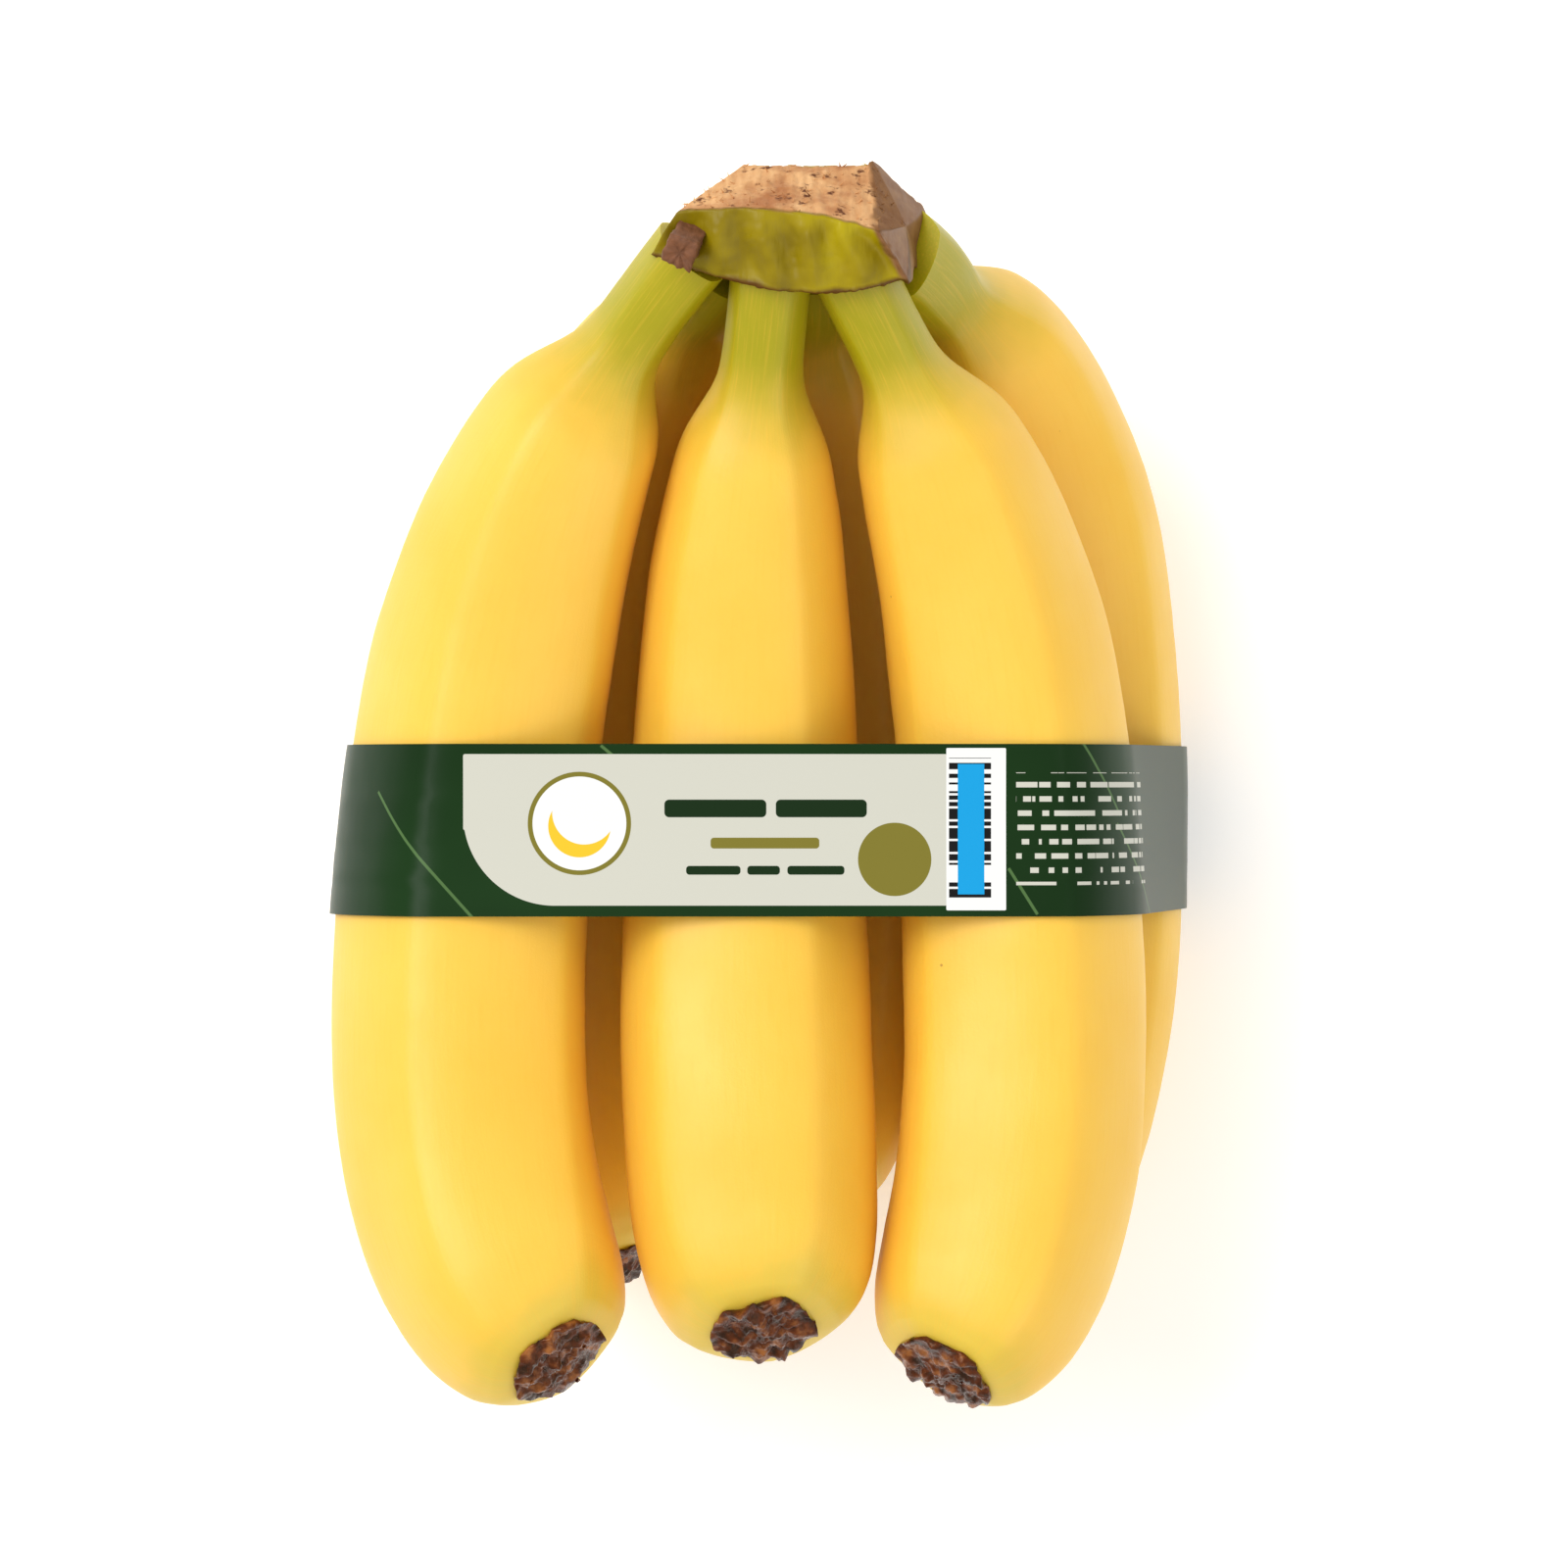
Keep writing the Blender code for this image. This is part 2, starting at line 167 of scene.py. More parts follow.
def heading(splay, climb):
    """The unit vector towards -Y, turned splay degrees to +X and climb degrees up."""
    a, e = math.radians(splay), math.radians(climb)
    return np.array([math.sin(a) * math.cos(e), -math.cos(a) * math.cos(e), math.sin(e)])


def arc_between(start, start_way, end, end_way, reach):
    """A bent line from start to end that leaves and arrives along the given directions."""
    handle = reach * np.linalg.norm(end - start)
    t = np.linspace(0, 1, 200)[:, None]
    corners = [start, start + handle * start_way, end - handle * end_way, end]
    weights = [(1 - t) ** 3, 3 * t * (1 - t) ** 2, 3 * t**2 * (1 - t), t**3]
    return sum(w * c for w, c in zip(weights, corners))


def middle_line(root, belly, far, fan, bow, reach, belly_splay, curl, tip_splay):
    """A finger's middle line from inside the crown over its belly to the blossom end."""
    root, belly = np.array(root), np.array(belly)
    x, y, z = belly - root
    span = math.hypot(*far)
    out = heading(
        fan * math.degrees(math.atan2(x, -y)), -bow * math.degrees(math.atan2(-z, math.hypot(x, y)))
    )
    level = heading(belly_splay, 0)
    tip = belly + [far[0], far[1], curl * span**2]
    up = heading(tip_splay, math.degrees(math.atan(2.2 * curl * span)))
    upper = arc_between(root, out, belly, level, reach)
    lower = arc_between(belly, level, tip, up, 0.37)
    return np.vstack([root - 3.0 * out, upper, lower[1:]])


def front_line(place, lip, fan, belly_splay, end, curl, tip_splay):
    """The middle line of the front row's finger at place, -1, 0 or 1 from left to right."""
    root = (FRONT_X / 2 + place * ROOT_PITCH + 0.9, LIP_Y + lip, FRONT_ROOT_Z)
    belly = (FRONT_X + place * FRONT_PITCH, BELLY_Y, FRONT_LEVEL)
    far = (end[0], LIP_Y - FRONT_REACH - BELLY_Y + end[1])
    return middle_line(root, belly, far, fan, 1.8, 0.39, belly_splay, curl, tip_splay)


def back_line(place, lip, fan, belly_splay, end, curl, tip_splay):
    """The middle line of the back row's finger at place, -1, 0 or 1 from left to right."""
    root = (BACK_X + place * ROOT_PITCH - 0.5, LIP_Y + lip, BACK_ROOT_Z)
    belly = (BACK_X + place * BACK_PITCH, BELLY_Y, BACK_LEVEL)
    far = (end[0], LIP_Y - BACK_REACH - BELLY_Y + end[1])
    return middle_line(root, belly, far, fan, 2.0, 0.47, belly_splay, curl, tip_splay)


def half_widths(shares, girth, shoulder):
    """Half the width at shares of the length, from the crown to the blossom end."""
    widest = girth * FINGER_WIDTH / 2
    stalk = PEDICEL_WIDTH / 2
    outline = (
        (0.00, stalk),
        (0.06, stalk * 0.99),
        (0.10, stalk * 1.06),
        (0.18, widest * (0.59 + 0.10 * shoulder)),
        (0.29, widest * (0.77 + 0.09 * shoulder)),
        (0.40, widest * (0.86 + 0.10 * shoulder)),
        (0.62, widest * (0.97 + 0.03 * shoulder)),
        (0.76, widest),
        (0.86, widest * 0.97),
        (0.93, widest * 0.89),
        (0.97, widest * 0.75),
        (0.99, widest * 0.61),
        (1.00, BLOSSOM_WIDTH / 2),
    )
    return smooth_through(outline, shares)


# name: middle line, girth, shoulder, roll of the section's ridges in degrees
FINGERS = {
    "banana_front_left": (front_line(-1, 4.6, 2.0, -5, (14.2, -3.6), 0.0038, 42), 1.0, 1.0, -16),
    "banana_front_middle": (front_line(0, 1.3, 2.6, 0, (3.1, 0.8), 0.0047, 7), 1.0, 0.0, 4),
    "banana_front_right": (front_line(1, 2.3, 1.85, 2, (-11.6, -5.6), 0.0030, -34), 0.955, 0.9, 14),
    "banana_back_left": (back_line(-1, 7.0, 2.65, 0, (8.5, -3.0), 0.0026, 28), 0.98, 0.5, 0),
    "banana_back_middle": (back_line(0, 6.5, 1.0, 0, (-2.5, 8.0), 0.0030, -2), 0.98, 0.0, 0),
    "banana_back_right": (back_line(1, 6.8, 3.4, 0, (-10.5, 0.0), 0.0025, -20), 0.98, 1.25, -10),
}


def finger_sweep():
    """The tree that carries a rounded five-sided section along a finger's middle line."""
    tree, given, out = tree_with(
        "finger_sweep",
        {
            "Sides": "NodeSocketInt",
            "Ridge Depth": "NodeSocketFloat",
            "Ridge Softness": "NodeSocketFloat",
            "Roll": "NodeSocketFloat",
            "Peel": "NodeSocketMaterial",
        },
    )
    line = add(tree, "GeometryNodeMeshToCurve", {"Mesh": given["Geometry"]})
    upright = add(tree, "GeometryNodeSetCurveNormal", {"Curve": line.outputs[0]}, mode="Z_UP")
    along = add(tree, "GeometryNodeSplineParameter")
    marked = add(
        tree,
        "GeometryNodeStoreNamedAttribute",
        {"Geometry": upright.outputs[0], "Name": "along", "Value": along.outputs["Factor"]},
        domain="POINT",
    )
    width = add(tree, "GeometryNodeInputNamedAttribute", {"Name": "half_width"})
    ring = add(tree, "GeometryNodeCurvePrimitiveCircle", {"Resolution": given["Sides"], "Radius": 1.0})
    place = add(tree, "GeometryNodeInputPosition")
    xyz = add(tree, "ShaderNodeSeparateXYZ", {0: place.outputs[0]})
    angle = add(tree, "ShaderNodeMath", {0: xyz.outputs["Y"], 1: xyz.outputs["X"]}, operation="ARCTAN2")
    rolled = add(tree, "ShaderNodeMath", {0: angle.outputs[0], 1: given["Roll"]}, operation="SUBTRACT")
    five = add(tree, "ShaderNodeMath", {0: rolled.outputs[0], 1: 5.0}, operation="MULTIPLY")
    wave = add(tree, "ShaderNodeMath", {0: five.outputs[0]}, operation="COSINE")
    flat = add(tree, "ShaderNodeMath", {0: wave.outputs[0], 1: 0.5, 2: 0.5}, operation="MULTIPLY_ADD")
    soft = add(
        tree, "ShaderNodeMath", {0: flat.outputs[0], 1: given["Ridge Softness"]}, operation="POWER"
    )
    dip = add(
        tree, "ShaderNodeMath", {0: soft.outputs[0], 1: given["Ridge Depth"]}, operation="MULTIPLY"
    )
    radius = add(tree, "ShaderNodeMath", {0: 1.0, 1: dip.outputs[0]}, operation="SUBTRACT")
    shaped = add(
        tree,
        "ShaderNodeVectorMath",
        {0: place.outputs[0], "Scale": radius.outputs[0]},
        operation="SCALE",
    )
    turned = add(
        tree,
        "GeometryNodeStoreNamedAttribute",
        {"Geometry": ring.outputs[0], "Name": "turn", "Value": place.outputs[0]},
        data_type="FLOAT_VECTOR",
        domain="POINT",
    )
    section = add(
        tree,
        "GeometryNodeSetPosition",
        {"Geometry": turned.outputs[0], "Position": shaped.outputs[0]},
    )
    swept = add(
        tree,
        "GeometryNodeCurveToMesh",
        {
            "Curve": marked.outputs[0],
            "Profile Curve": section.outputs[0],
            "Scale": width.outputs[0],
            "Fill Caps": True,
        },
    )
    real = add(tree, "GeometryNodeRealizeInstances", {"Geometry": swept.outputs[0]})
    peeled = add(
        tree, "GeometryNodeSetMaterial", {"Geometry": real.outputs[0], "Material": given["Peel"]}
    )
    tree.links.new(peeled.outputs[0], out.inputs[0])
    return tree


def spine_mesh(name, line, girth, shoulder, flare):
    """The middle line as a row of points and edges, each point with the half width there.

    flare is how much the stalk widens where it meets the crown.
    """
    lengths = np.r_[0, np.cumsum(np.linalg.norm(np.diff(line, axis=0), axis=1))]
    shares = np.r_[np.linspace(0, 0.93, SPINE_STEPS), np.linspace(0.936, 1, TIP_STEPS)]
    points = np.stack([np.interp(shares * lengths[-1], lengths, line[:, k]) for k in range(3)], 1)
    mesh = bpy.data.meshes.new(name)
    edges = [(k, k + 1) for k in range(len(points) - 1)]
    mesh.from_pydata(((points + ORIGIN) * MM).tolist(), edges, [])
    width = mesh.attributes.new("half_width", "FLOAT", "POINT")
    blur = np.linspace(-0.012, 0.012, 9)[:, None]
    blurred = half_widths(np.clip(shares + blur, 0, 1), girth, shoulder).mean(0)
    ends = np.clip((1 - shares) / 0.02, 0, 1)
    widths = blurred * ends + half_widths(shares, girth, shoulder) * (1 - ends)
    widths += flare * PEDICEL_WIDTH / 2 * np.exp(-((shares / 0.1) ** 4))
    width.data.foreach_set("value", widths * MM)
    return mesh


def coordinates(mesh):
    """The places of a mesh's vertices, one to a row."""
    flat = np.empty(len(mesh.vertices) * 3, np.float32)
    mesh.vertices.foreach_get("co", flat)
    return flat.reshape(-1, 3).astype(float)


def relief(obj, height):
    """Moves each vertex along its normal by height(place in mm) millimetres."""
    mesh = obj.data
    places = coordinates(mesh)
    normals = np.array([v.normal[:] for v in mesh.vertices])
    out = np.array([height(Vector(p / MM)) for p in places])
    mesh.vertices.foreach_set("co", (places + normals * out[:, None] * MM).astype(np.float32).ravel())
    mesh.update()


# Banana peel, waxy and slightly glossy: clear yellow, greener where it joined the plant, with a
# few brown freckles and faint fibres along its length.
peel, tree, shader = finish_named("waxy_banana_peel")
place = add(tree, "ShaderNodeTexCoord").outputs["Object"]
along = add(tree, "ShaderNodeAttribute", attribute_name="along").outputs["Fac"]
cloud = add(tree, "ShaderNodeTexNoise", {"Vector": place, "Scale": 45.0, "Detail": 3.0})
tone = add(
    tree,
    "ShaderNodeMix",
    {0: cloud.outputs["Fac"], 6: linear(PEEL_YELLOW), 7: linear(PEEL_GOLD)},
    data_type="RGBA",
)
edge = add(tree, "ShaderNodeTexNoise", {"Vector": place, "Scale": 120.0, "Detail": 2.0})
ragged = add(
    tree, "ShaderNodeMath", {0: edge.outputs["Fac"], 1: 0.05, 2: along}, operation="MULTIPLY_ADD"
)
stalk = add(
    tree,
    "ShaderNodeMapRange",
    {"Value": ragged.outputs[0], "From Min": 0.08, "From Max": 0.22, "To Min": 1.0, "To Max": 0.0},
    interpolation_type="SMOOTHSTEP",
)
greened = add(
    tree,
    "ShaderNodeMix",
    {0: stalk.outputs[0], 6: tone.outputs[2], 7: linear(STALK_GREEN)},
    data_type="RGBA",
)
halo = add(
    tree,
    "ShaderNodeMapRange",
    {"Value": ragged.outputs[0], "From Min": 0.975, "From Max": 1.025, "To Min": 0.0, "To Max": 0.6},
    interpolation_type="SMOOTHSTEP",
)
tipped = add(
    tree,
    "ShaderNodeMix",
    {0: halo.outputs[0], 6: greened.outputs[2], 7: linear(TIP_GREEN)},
    data_type="RGBA",
)
turn = add(tree, "ShaderNodeAttribute", attribute_name="turn").outputs["Vector"]
length = add(tree, "ShaderNodeMath", {0: along, 1: 0.9}, operation="MULTIPLY")
on_skin = add(tree, "ShaderNodeVectorMath", {0: turn, 1: (1, 1, 0)}, operation="MULTIPLY")
up_skin = add(tree, "ShaderNodeCombineXYZ", {"Z": length.outputs[0]})
skin_place = add(
    tree, "ShaderNodeVectorMath", {0: on_skin.outputs[0], 1: up_skin.outputs[0]}, operation="ADD"
)
fibre = add(
    tree,
    "ShaderNodeTexNoise",
    {"Vector": skin_place.outputs[0], "Scale": 22.0, "Detail": 5.0, "Roughness": 0.6},
)
streaked = add(
    tree,
    "ShaderNodeMapRange",
    {"Value": fibre.outputs["Fac"], "From Min": 0.5, "From Max": 0.8, "To Min": 0.0, "To Max": 0.4},
)
fibrous = add(
    tree,
    "ShaderNodeMix",
    {0: streaked.outputs[0], 6: tipped.outputs[2], 7: linear(PEEL_GOLD)},
    data_type="RGBA",
)
dots = add(tree, "ShaderNodeTexVoronoi", {"Vector": place, "Scale": 150.0, "Randomness": 1.0})
sparse = add(tree, "ShaderNodeTexNoise", {"Vector": place, "Scale": 90.0, "Detail": 2.0})
dot_size = add(
    tree,
    "ShaderNodeMapRange",
    {"Value": sparse.outputs["Fac"], "From Min": 0.56, "From Max": 0.72, "To Min": 0.0, "To Max": 0.09},
)
in_dot = add(
    tree,
    "ShaderNodeMath",
    {0: dots.outputs["Distance"], 1: dot_size.outputs[0]},
    operation="LESS_THAN",
)
faint = add(tree, "ShaderNodeMath", {0: in_dot.outputs[0], 1: 0.55}, operation="MULTIPLY")
freckled = add(
    tree,
    "ShaderNodeMix",
    {0: faint.outputs[0], 6: fibrous.outputs[2], 7: linear(FRECKLE_BROWN)},
    data_type="RGBA",
)
tree.links.new(freckled.outputs[2], shader.inputs["Base Color"])
wax = add(
    tree,
    "ShaderNodeMapRange",
    {"Value": cloud.outputs["Fac"], "From Min": 0.3, "From Max": 0.7, "To Min": 0.4, "To Max": 0.52},
)
tree.links.new(wax.outputs[0], shader.inputs["Roughness"])
pores = add(tree, "ShaderNodeTexNoise", {"Vector": place, "Scale": 2200.0, "Detail": 2.0})
skin_height = add(
    tree,
    "ShaderNodeMath",
    {0: fibre.outputs["Fac"], 1: 2.0, 2: pores.outputs["Fac"]},
    operation="MULTIPLY_ADD",
)
skin_bump = add(
    tree, "ShaderNodeBump", {"Height": skin_height.outputs[0], "Strength": 0.12, "Distance": 0.0002}
)
tree.links.new(skin_bump.outputs[0], shader.inputs["Normal"])
shader.inputs["IOR"].default_value = 1.45
shader.inputs["Subsurface Weight"].default_value = 0.2
shader.inputs["Specular IOR Level"].default_value = 0.5
shader.inputs["Subsurface Radius"].default_value = (1.0, 0.65, 0.15)
shader.inputs["Subsurface Scale"].default_value = 0.004

sweep = finger_sweep()
SKINS = {}
for name, (line, girth, shoulder, roll) in FINGERS.items():
    sizes = {
        "Sides": PEEL_SIDES,
        "Ridge Depth": RIDGE_DEPTH,
        "Ridge Softness": RIDGE_SOFTNESS,
        "Roll": math.radians(roll - 90),
        "Peel": peel,
    }
    flare = BACK_FLARE if "back" in name else FRONT_FLARE
    spine = spine_mesh(name, line, girth, shoulder, flare)
    finger = grown_by(sweep, name + "_peel", spine, sizes)
    relief(finger, lambda p: 0.22 * noise.noise(p / 16) + 0.05 * noise.noise(p / 3.5))
    finger.data.shade_smooth()
    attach(finger, "root")
    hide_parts(name)
    SKINS[name] = coordinates(finger.data).reshape(-1, PEEL_SIDES, 3) / MM


# ---------------------------------------------------------------------------------------------
# The blossom ends: where the flower withered off, each finger keeps a dark brown crust, brittle
# and crumpled, that shines like lacquer where the dried sap ran. It laps raggedly onto the peel.

CRUST_LAP = 0.3
CRUST_RAGGED = 1.6
CRUST_RISE = 0.6
CRUST_ROUGH = 1.9
CRUST_SHARE = 0.9
CRUST_BROWN = "#54230b"
CRUST_TAN = "#9a5e2e"
CRUST_BLACK = "#1e0a03"
SAP_AMBER = "#e0a878"


def solid_of(name, rows):
    """A smooth closed mesh through rows of points in mm, each row a closed ring."""
    mesh = bmesh.new()
    rings = [[mesh.verts.new(Vector(p) * MM) for p in row] for row in rows]
    for here, there in zip(rings, rings[1:]):
        for k in range(len(here)):
            n = (k + 1) % len(here)
            mesh.faces.new((here[k], here[n], there[n], there[k]))
    for ring in (rings[0], rings[-1]):
        hub = mesh.verts.new(sum((v.co for v in ring), Vector()) / len(ring))
        for k in range(len(ring)):
            mesh.faces.new((ring[k], ring[(k + 1) % len(ring)], hub))
    bmesh.ops.recalc_face_normals(mesh, faces=mesh.faces)
    data = bpy.data.meshes.new(name)
    mesh.to_mesh(data)
    mesh.free()
    data.shade_smooth()
    return data


def crust_rows(skin, seed):
    """Rings over a blossom end, from under its ragged edge over the skin and rim to its middle.

    They are drawn in towards the rim's top, so that a lip of peel shows below the crust.
    """
    rim = skin[-1]
    top = rim[rim[:, 2].argmax()]
    middle = rim.mean(0)
    out = np.cross(rim[0] - middle, rim[PEEL_SIDES // 4] - middle)
    out /= np.linalg.norm(out)
    if out @ (middle - skin[-12].mean(0)) < 0:
        out = -out
    lap = np.empty(PEEL_SIDES)
    for k in range(PEEL_SIDES):
        turn = math.tau * k / PEEL_SIDES
        at = Vector((math.cos(turn), math.sin(turn), seed))
        upper = 0.5 + (rim[k, 2] - middle[2]) / BLOSSOM_WIDTH
        ragged = CRUST_RAGGED * max(0, 0.25 + noise.noise(at * 1.7)) + 0.4 * noise.noise(at * 6)
        lap[k] = CRUST_LAP + ragged * min(1, max(0.05, upper))
    back = skin[::-1][:60]
    steps = np.linalg.norm(np.diff(back, axis=0), axis=2)
    lengths = np.vstack([np.zeros(PEEL_SIDES), np.cumsum(steps, 0)])
    rows = []
    for share, lift in ((1.0, -0.8), (1.0, 0.2), (0.85, 0.55), (0.6, 0.75), (0.35, 0.85), (0.12, 0.9)):
        row = np.empty((PEEL_SIDES, 3))
        for k in range(PEEL_SIDES):
            d = max(0.1, lap[k]) * share
            on = np.array([np.interp(d, lengths[:, k], back[:, k, i]) for i in range(3)])
            away = on - middle
            away /= np.linalg.norm(away)
            row[k] = on + (away + 0.3 * out) * lift
        rows.append(row)
    for share in np.linspace(0.97, 0.04, 22):
        dome = CRUST_RISE * (0.5 + 0.5 * math.cos(math.pi * share)) + 0.35
        rows.append(middle + (rim - middle) * share + out * dome)
    crumpled = []
    for j, row in enumerate(rows):
        free = min(1, j / 3) if j else 0
        new = []
        for p in row:
            at = Vector(p) / 3.4 + Vector((seed, 0, 0))
            fold = abs(noise.noise(at)) + 0.4 * abs(noise.noise(at * 2.4)) + 0.12 * noise.noise(at * 6)
            new.append(top + (p - top) * CRUST_SHARE + out * CRUST_ROUGH * free * (fold - 0.12))
        crumpled.append(np.array(new))
    return crumpled


def scattered():
    """The tree that scatters small splinters over a surface, each leaning its own way."""
    tree, given, out = tree_with(
        "scattered_splinters",
        {
            "Density": "NodeSocketFloat",
            "Length": "NodeSocketFloat",
            "Thickness": "NodeSocketFloat",
            "Lean": "NodeSocketFloat",
            "Where": "NodeSocketString",
            "Seed": "NodeSocketInt",
            "Finish": "NodeSocketMaterial",
        },
    )
    where = add(tree, "GeometryNodeInputNamedAttribute", {"Name": given["Where"]})
    there = add(
        tree, "FunctionNodeCompare", {"A": where.outputs[0], "B": 0.5}, operation="GREATER_THAN"
    )
    points = add(
        tree,
        "GeometryNodeDistributePointsOnFaces",
        {
            "Mesh": given["Geometry"],
            "Selection": there.outputs[0],
            "Density": given["Density"],
            "Seed": given["Seed"],
        },
    )
    splinter = add(
        tree,
        "GeometryNodeMeshCone",
        {
            "Vertices": 5,
            "Side Segments": 2,
            "Radius Top": 0.15,
            "Radius Bottom": 1.0,
            "Depth": 1.0,
        },
    )
    least = add(tree, "ShaderNodeMath", {0: given["Lean"], 1: -1.0}, operation="MULTIPLY")
    low = add(
        tree, "ShaderNodeCombineXYZ", {"X": least.outputs[0], "Y": least.outputs[0], "Z": -3.1}
    )
    high = add(tree, "ShaderNodeCombineXYZ", {"X": given["Lean"], "Y": given["Lean"], "Z": 3.1})
    lean = add(
        tree,
        "FunctionNodeRandomValue",
        {0: low.outputs[0], 1: high.outputs[0], "Seed": given["Seed"]},
        data_type="FLOAT_VECTOR",
    )
    turned = add(
        tree,
        "FunctionNodeRotateRotation",
        {"Rotation": points.outputs["Rotation"], "Rotate By": lean.outputs[0]},
        rotation_space="LOCAL",
    )
    share = add(tree, "FunctionNodeRandomValue", {2: 0.35, 3: 1.0, "Seed": given["Seed"]})
    size = add(
        tree,
        "ShaderNodeCombineXYZ",
        {"X": given["Thickness"], "Y": given["Thickness"], "Z": given["Length"]},
    )
    sized = add(
        tree,
        "ShaderNodeVectorMath",
        {0: size.outputs[0], "Scale": share.outputs[1]},
        operation="SCALE",
    )
    placed = add(
        tree,
        "GeometryNodeInstanceOnPoints",
        {
            "Points": points.outputs["Points"],
            "Instance": splinter.outputs["Mesh"],
            "Rotation": turned.outputs[0],
            "Scale": sized.outputs[0],
        },
    )
    real = add(tree, "GeometryNodeRealizeInstances", {"Geometry": placed.outputs[0]})
    both = add(tree, "GeometryNodeJoinGeometry")
    tree.links.new(given["Geometry"], both.inputs[0])
    tree.links.new(real.outputs[0], both.inputs[0])
    finished = add(
        tree, "GeometryNodeSetMaterial", {"Geometry": both.outputs[0], "Material": given["Finish"]}
    )
    tree.links.new(finished.outputs[0], out.inputs[0])
    return tree


def mark(mesh, name, values):
    """Stores one value for each vertex under this name."""
    mesh.attributes.new(name, "FLOAT", "POINT").data.foreach_set("value", np.asarray(values, np.float32))


# Dried plant crust: nearly black in its folds, red-brown to tan on its edges, glossy with sap.
crust, tree, shader = finish_named("dried_blossom_crust")
place = add(tree, "ShaderNodeTexCoord").outputs["Object"]
blotch = add(tree, "ShaderNodeTexNoise", {"Vector": place, "Scale": 420.0, "Detail": 5.0})
shade = add(tree, "ShaderNodeValToRGB", {"Fac": blotch.outputs["Fac"]})
shade.color_ramp.elements[0].position = 0.38
shade.color_ramp.elements[0].color = linear(CRUST_BLACK)
shade.color_ramp.elements[1].position = 0.72
shade.color_ramp.elements[1].color = linear(CRUST_TAN)
shade.color_ramp.elements.new(0.53).color = linear(CRUST_BROWN)
tree.links.new(shade.outputs["Color"], shader.inputs["Base Color"])
wet = add(tree, "ShaderNodeTexNoise", {"Vector": place, "Scale": 260.0, "Detail": 2.0})
polish = add(
    tree,
    "ShaderNodeMapRange",
    {"Value": wet.outputs["Fac"], "From Min": 0.4, "From Max": 0.62, "To Min": 0.07, "To Max": 0.36},
)
tree.links.new(polish.outputs[0], shader.inputs["Roughness"])
shader.inputs["Specular Tint"].default_value = linear(SAP_AMBER)
shader.inputs["Coat Weight"].default_value = 0.12
shader.inputs["Coat Roughness"].default_value = 0.07
grit = add(tree, "ShaderNodeTexNoise", {"Vector": place, "Scale": 1600.0, "Detail": 4.0})
pits = add(tree, "ShaderNodeBump", {"Height": grit.outputs["Fac"], "Strength": 0.6, "Distance": 0.0003})
tree.links.new(pits.outputs[0], shader.inputs["Normal"])

splinters = scattered()
for seed, (name, skin) in enumerate(SKINS.items()):
    data = solid_of("crust", crust_rows(skin, 3.7 * seed + 1.3))
    mark(data, "flaky", np.ones(len(data.vertices)))
    sizes = {
        "Density": 14000.0,
        "Length": 0.0007,
        "Thickness": 0.0005,
        "Lean": 1.5,
        "Where": "flaky",
        "Seed": seed + 5,
        "Finish": crust,
    }
    tip = grown_by(splinters, name + "_blossom_end", data, sizes)
    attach(tip, "root")


# ---------------------------------------------------------------------------------------------
# The crown: the pad of the plant's stem that the fingers grow from. Its skin is green and ribbed;
# a knife left the sloping face at the back, which has dried to tan, fibrous, spotted wood.

CROWN_HEIGHT = 20.5
CROWN_WIDTH = 37.4
CROWN_STATIONS = 141
EDGE_SAMPLES = (44, 44, 30, 20, 26)
CROWN_RIBS = 5
RIB_HEIGHT = 0.8
END_DOME = 1.2
CROWN_GREEN = "#948000"
CROWN_GREEN_LIGHT = "#a99704"
CROWN_GREEN_DARK = "#776400"
CUT_TAN = "#bb7d48"
CUT_PALE = "#e8bc86"
CUT_STAIN = "#98572c"
CUT_SPOT = "#5f3216"
RIM_BROWN = "#5c3a0c"
SIDE_GREY = "#9a7146"


def rail(left, middle, right):
    """CROWN_STATIONS points on the parabola through three points, from left to right."""
    t = np.linspace(0, 1, CROWN_STATIONS)[:, None]
    a, b, c = (np.array(p, float) for p in (left, middle, right))
    return a * (1 - t) * (1 - 2 * t) + 4 * b * t * (1 - t) + c * t * (2 * t - 1)


def crown_rails():
    """The front lip, the front and back edge of the cut, and the two lower edges at the back."""
    half = CROWN_WIDTH / 2
    cut_top = LIP_Y + CROWN_HEIGHT
    cut_low = LIP_Y + 0.57 * CROWN_HEIGHT
    brow, cut_back, sole = CROWN_TOP - 3, CROWN_TOP - 19, CROWN_LIFT
    return (
        rail(
            (-1.02 * half, LIP_Y + 6, brow - 4),
            (1.5, LIP_Y, brow),
            (0.96 * half, LIP_Y + 3, brow - 4),
        ),
        rail(
            (-0.82 * half, cut_low, CROWN_TOP - 2),
            (0, cut_low, CROWN_TOP),
            (0.74 * half, cut_low - 3, CROWN_TOP - 2),
        ),
        rail(
            (-0.3 * half, cut_top, cut_back),
            (0.2 * half, cut_top, cut_back),
            (0.7 * half, cut_top, cut_back),
        ),
        rail(
            (-0.6 * half, cut_low, sole + 3),
            (1, cut_low + 2, sole),
            (1.13 * half, cut_low + 2.5, sole + 9),
        ),
        rail(
            (-0.97 * half, LIP_Y + 9, sole + 7),
            (1, LIP_Y + 7, sole),
            (1.1 * half, LIP_Y + 6, sole + 6),
        ),
    )


def rounded_end(ring, share, side):
    """The ring drawn in to a share of its size and moved out to its side, -1 or 1, as on a dome."""
    middle = ring.mean(0)
    return middle + (ring - middle) * share + [side * END_DOME * math.cos(share * 1.57), 0, 0]


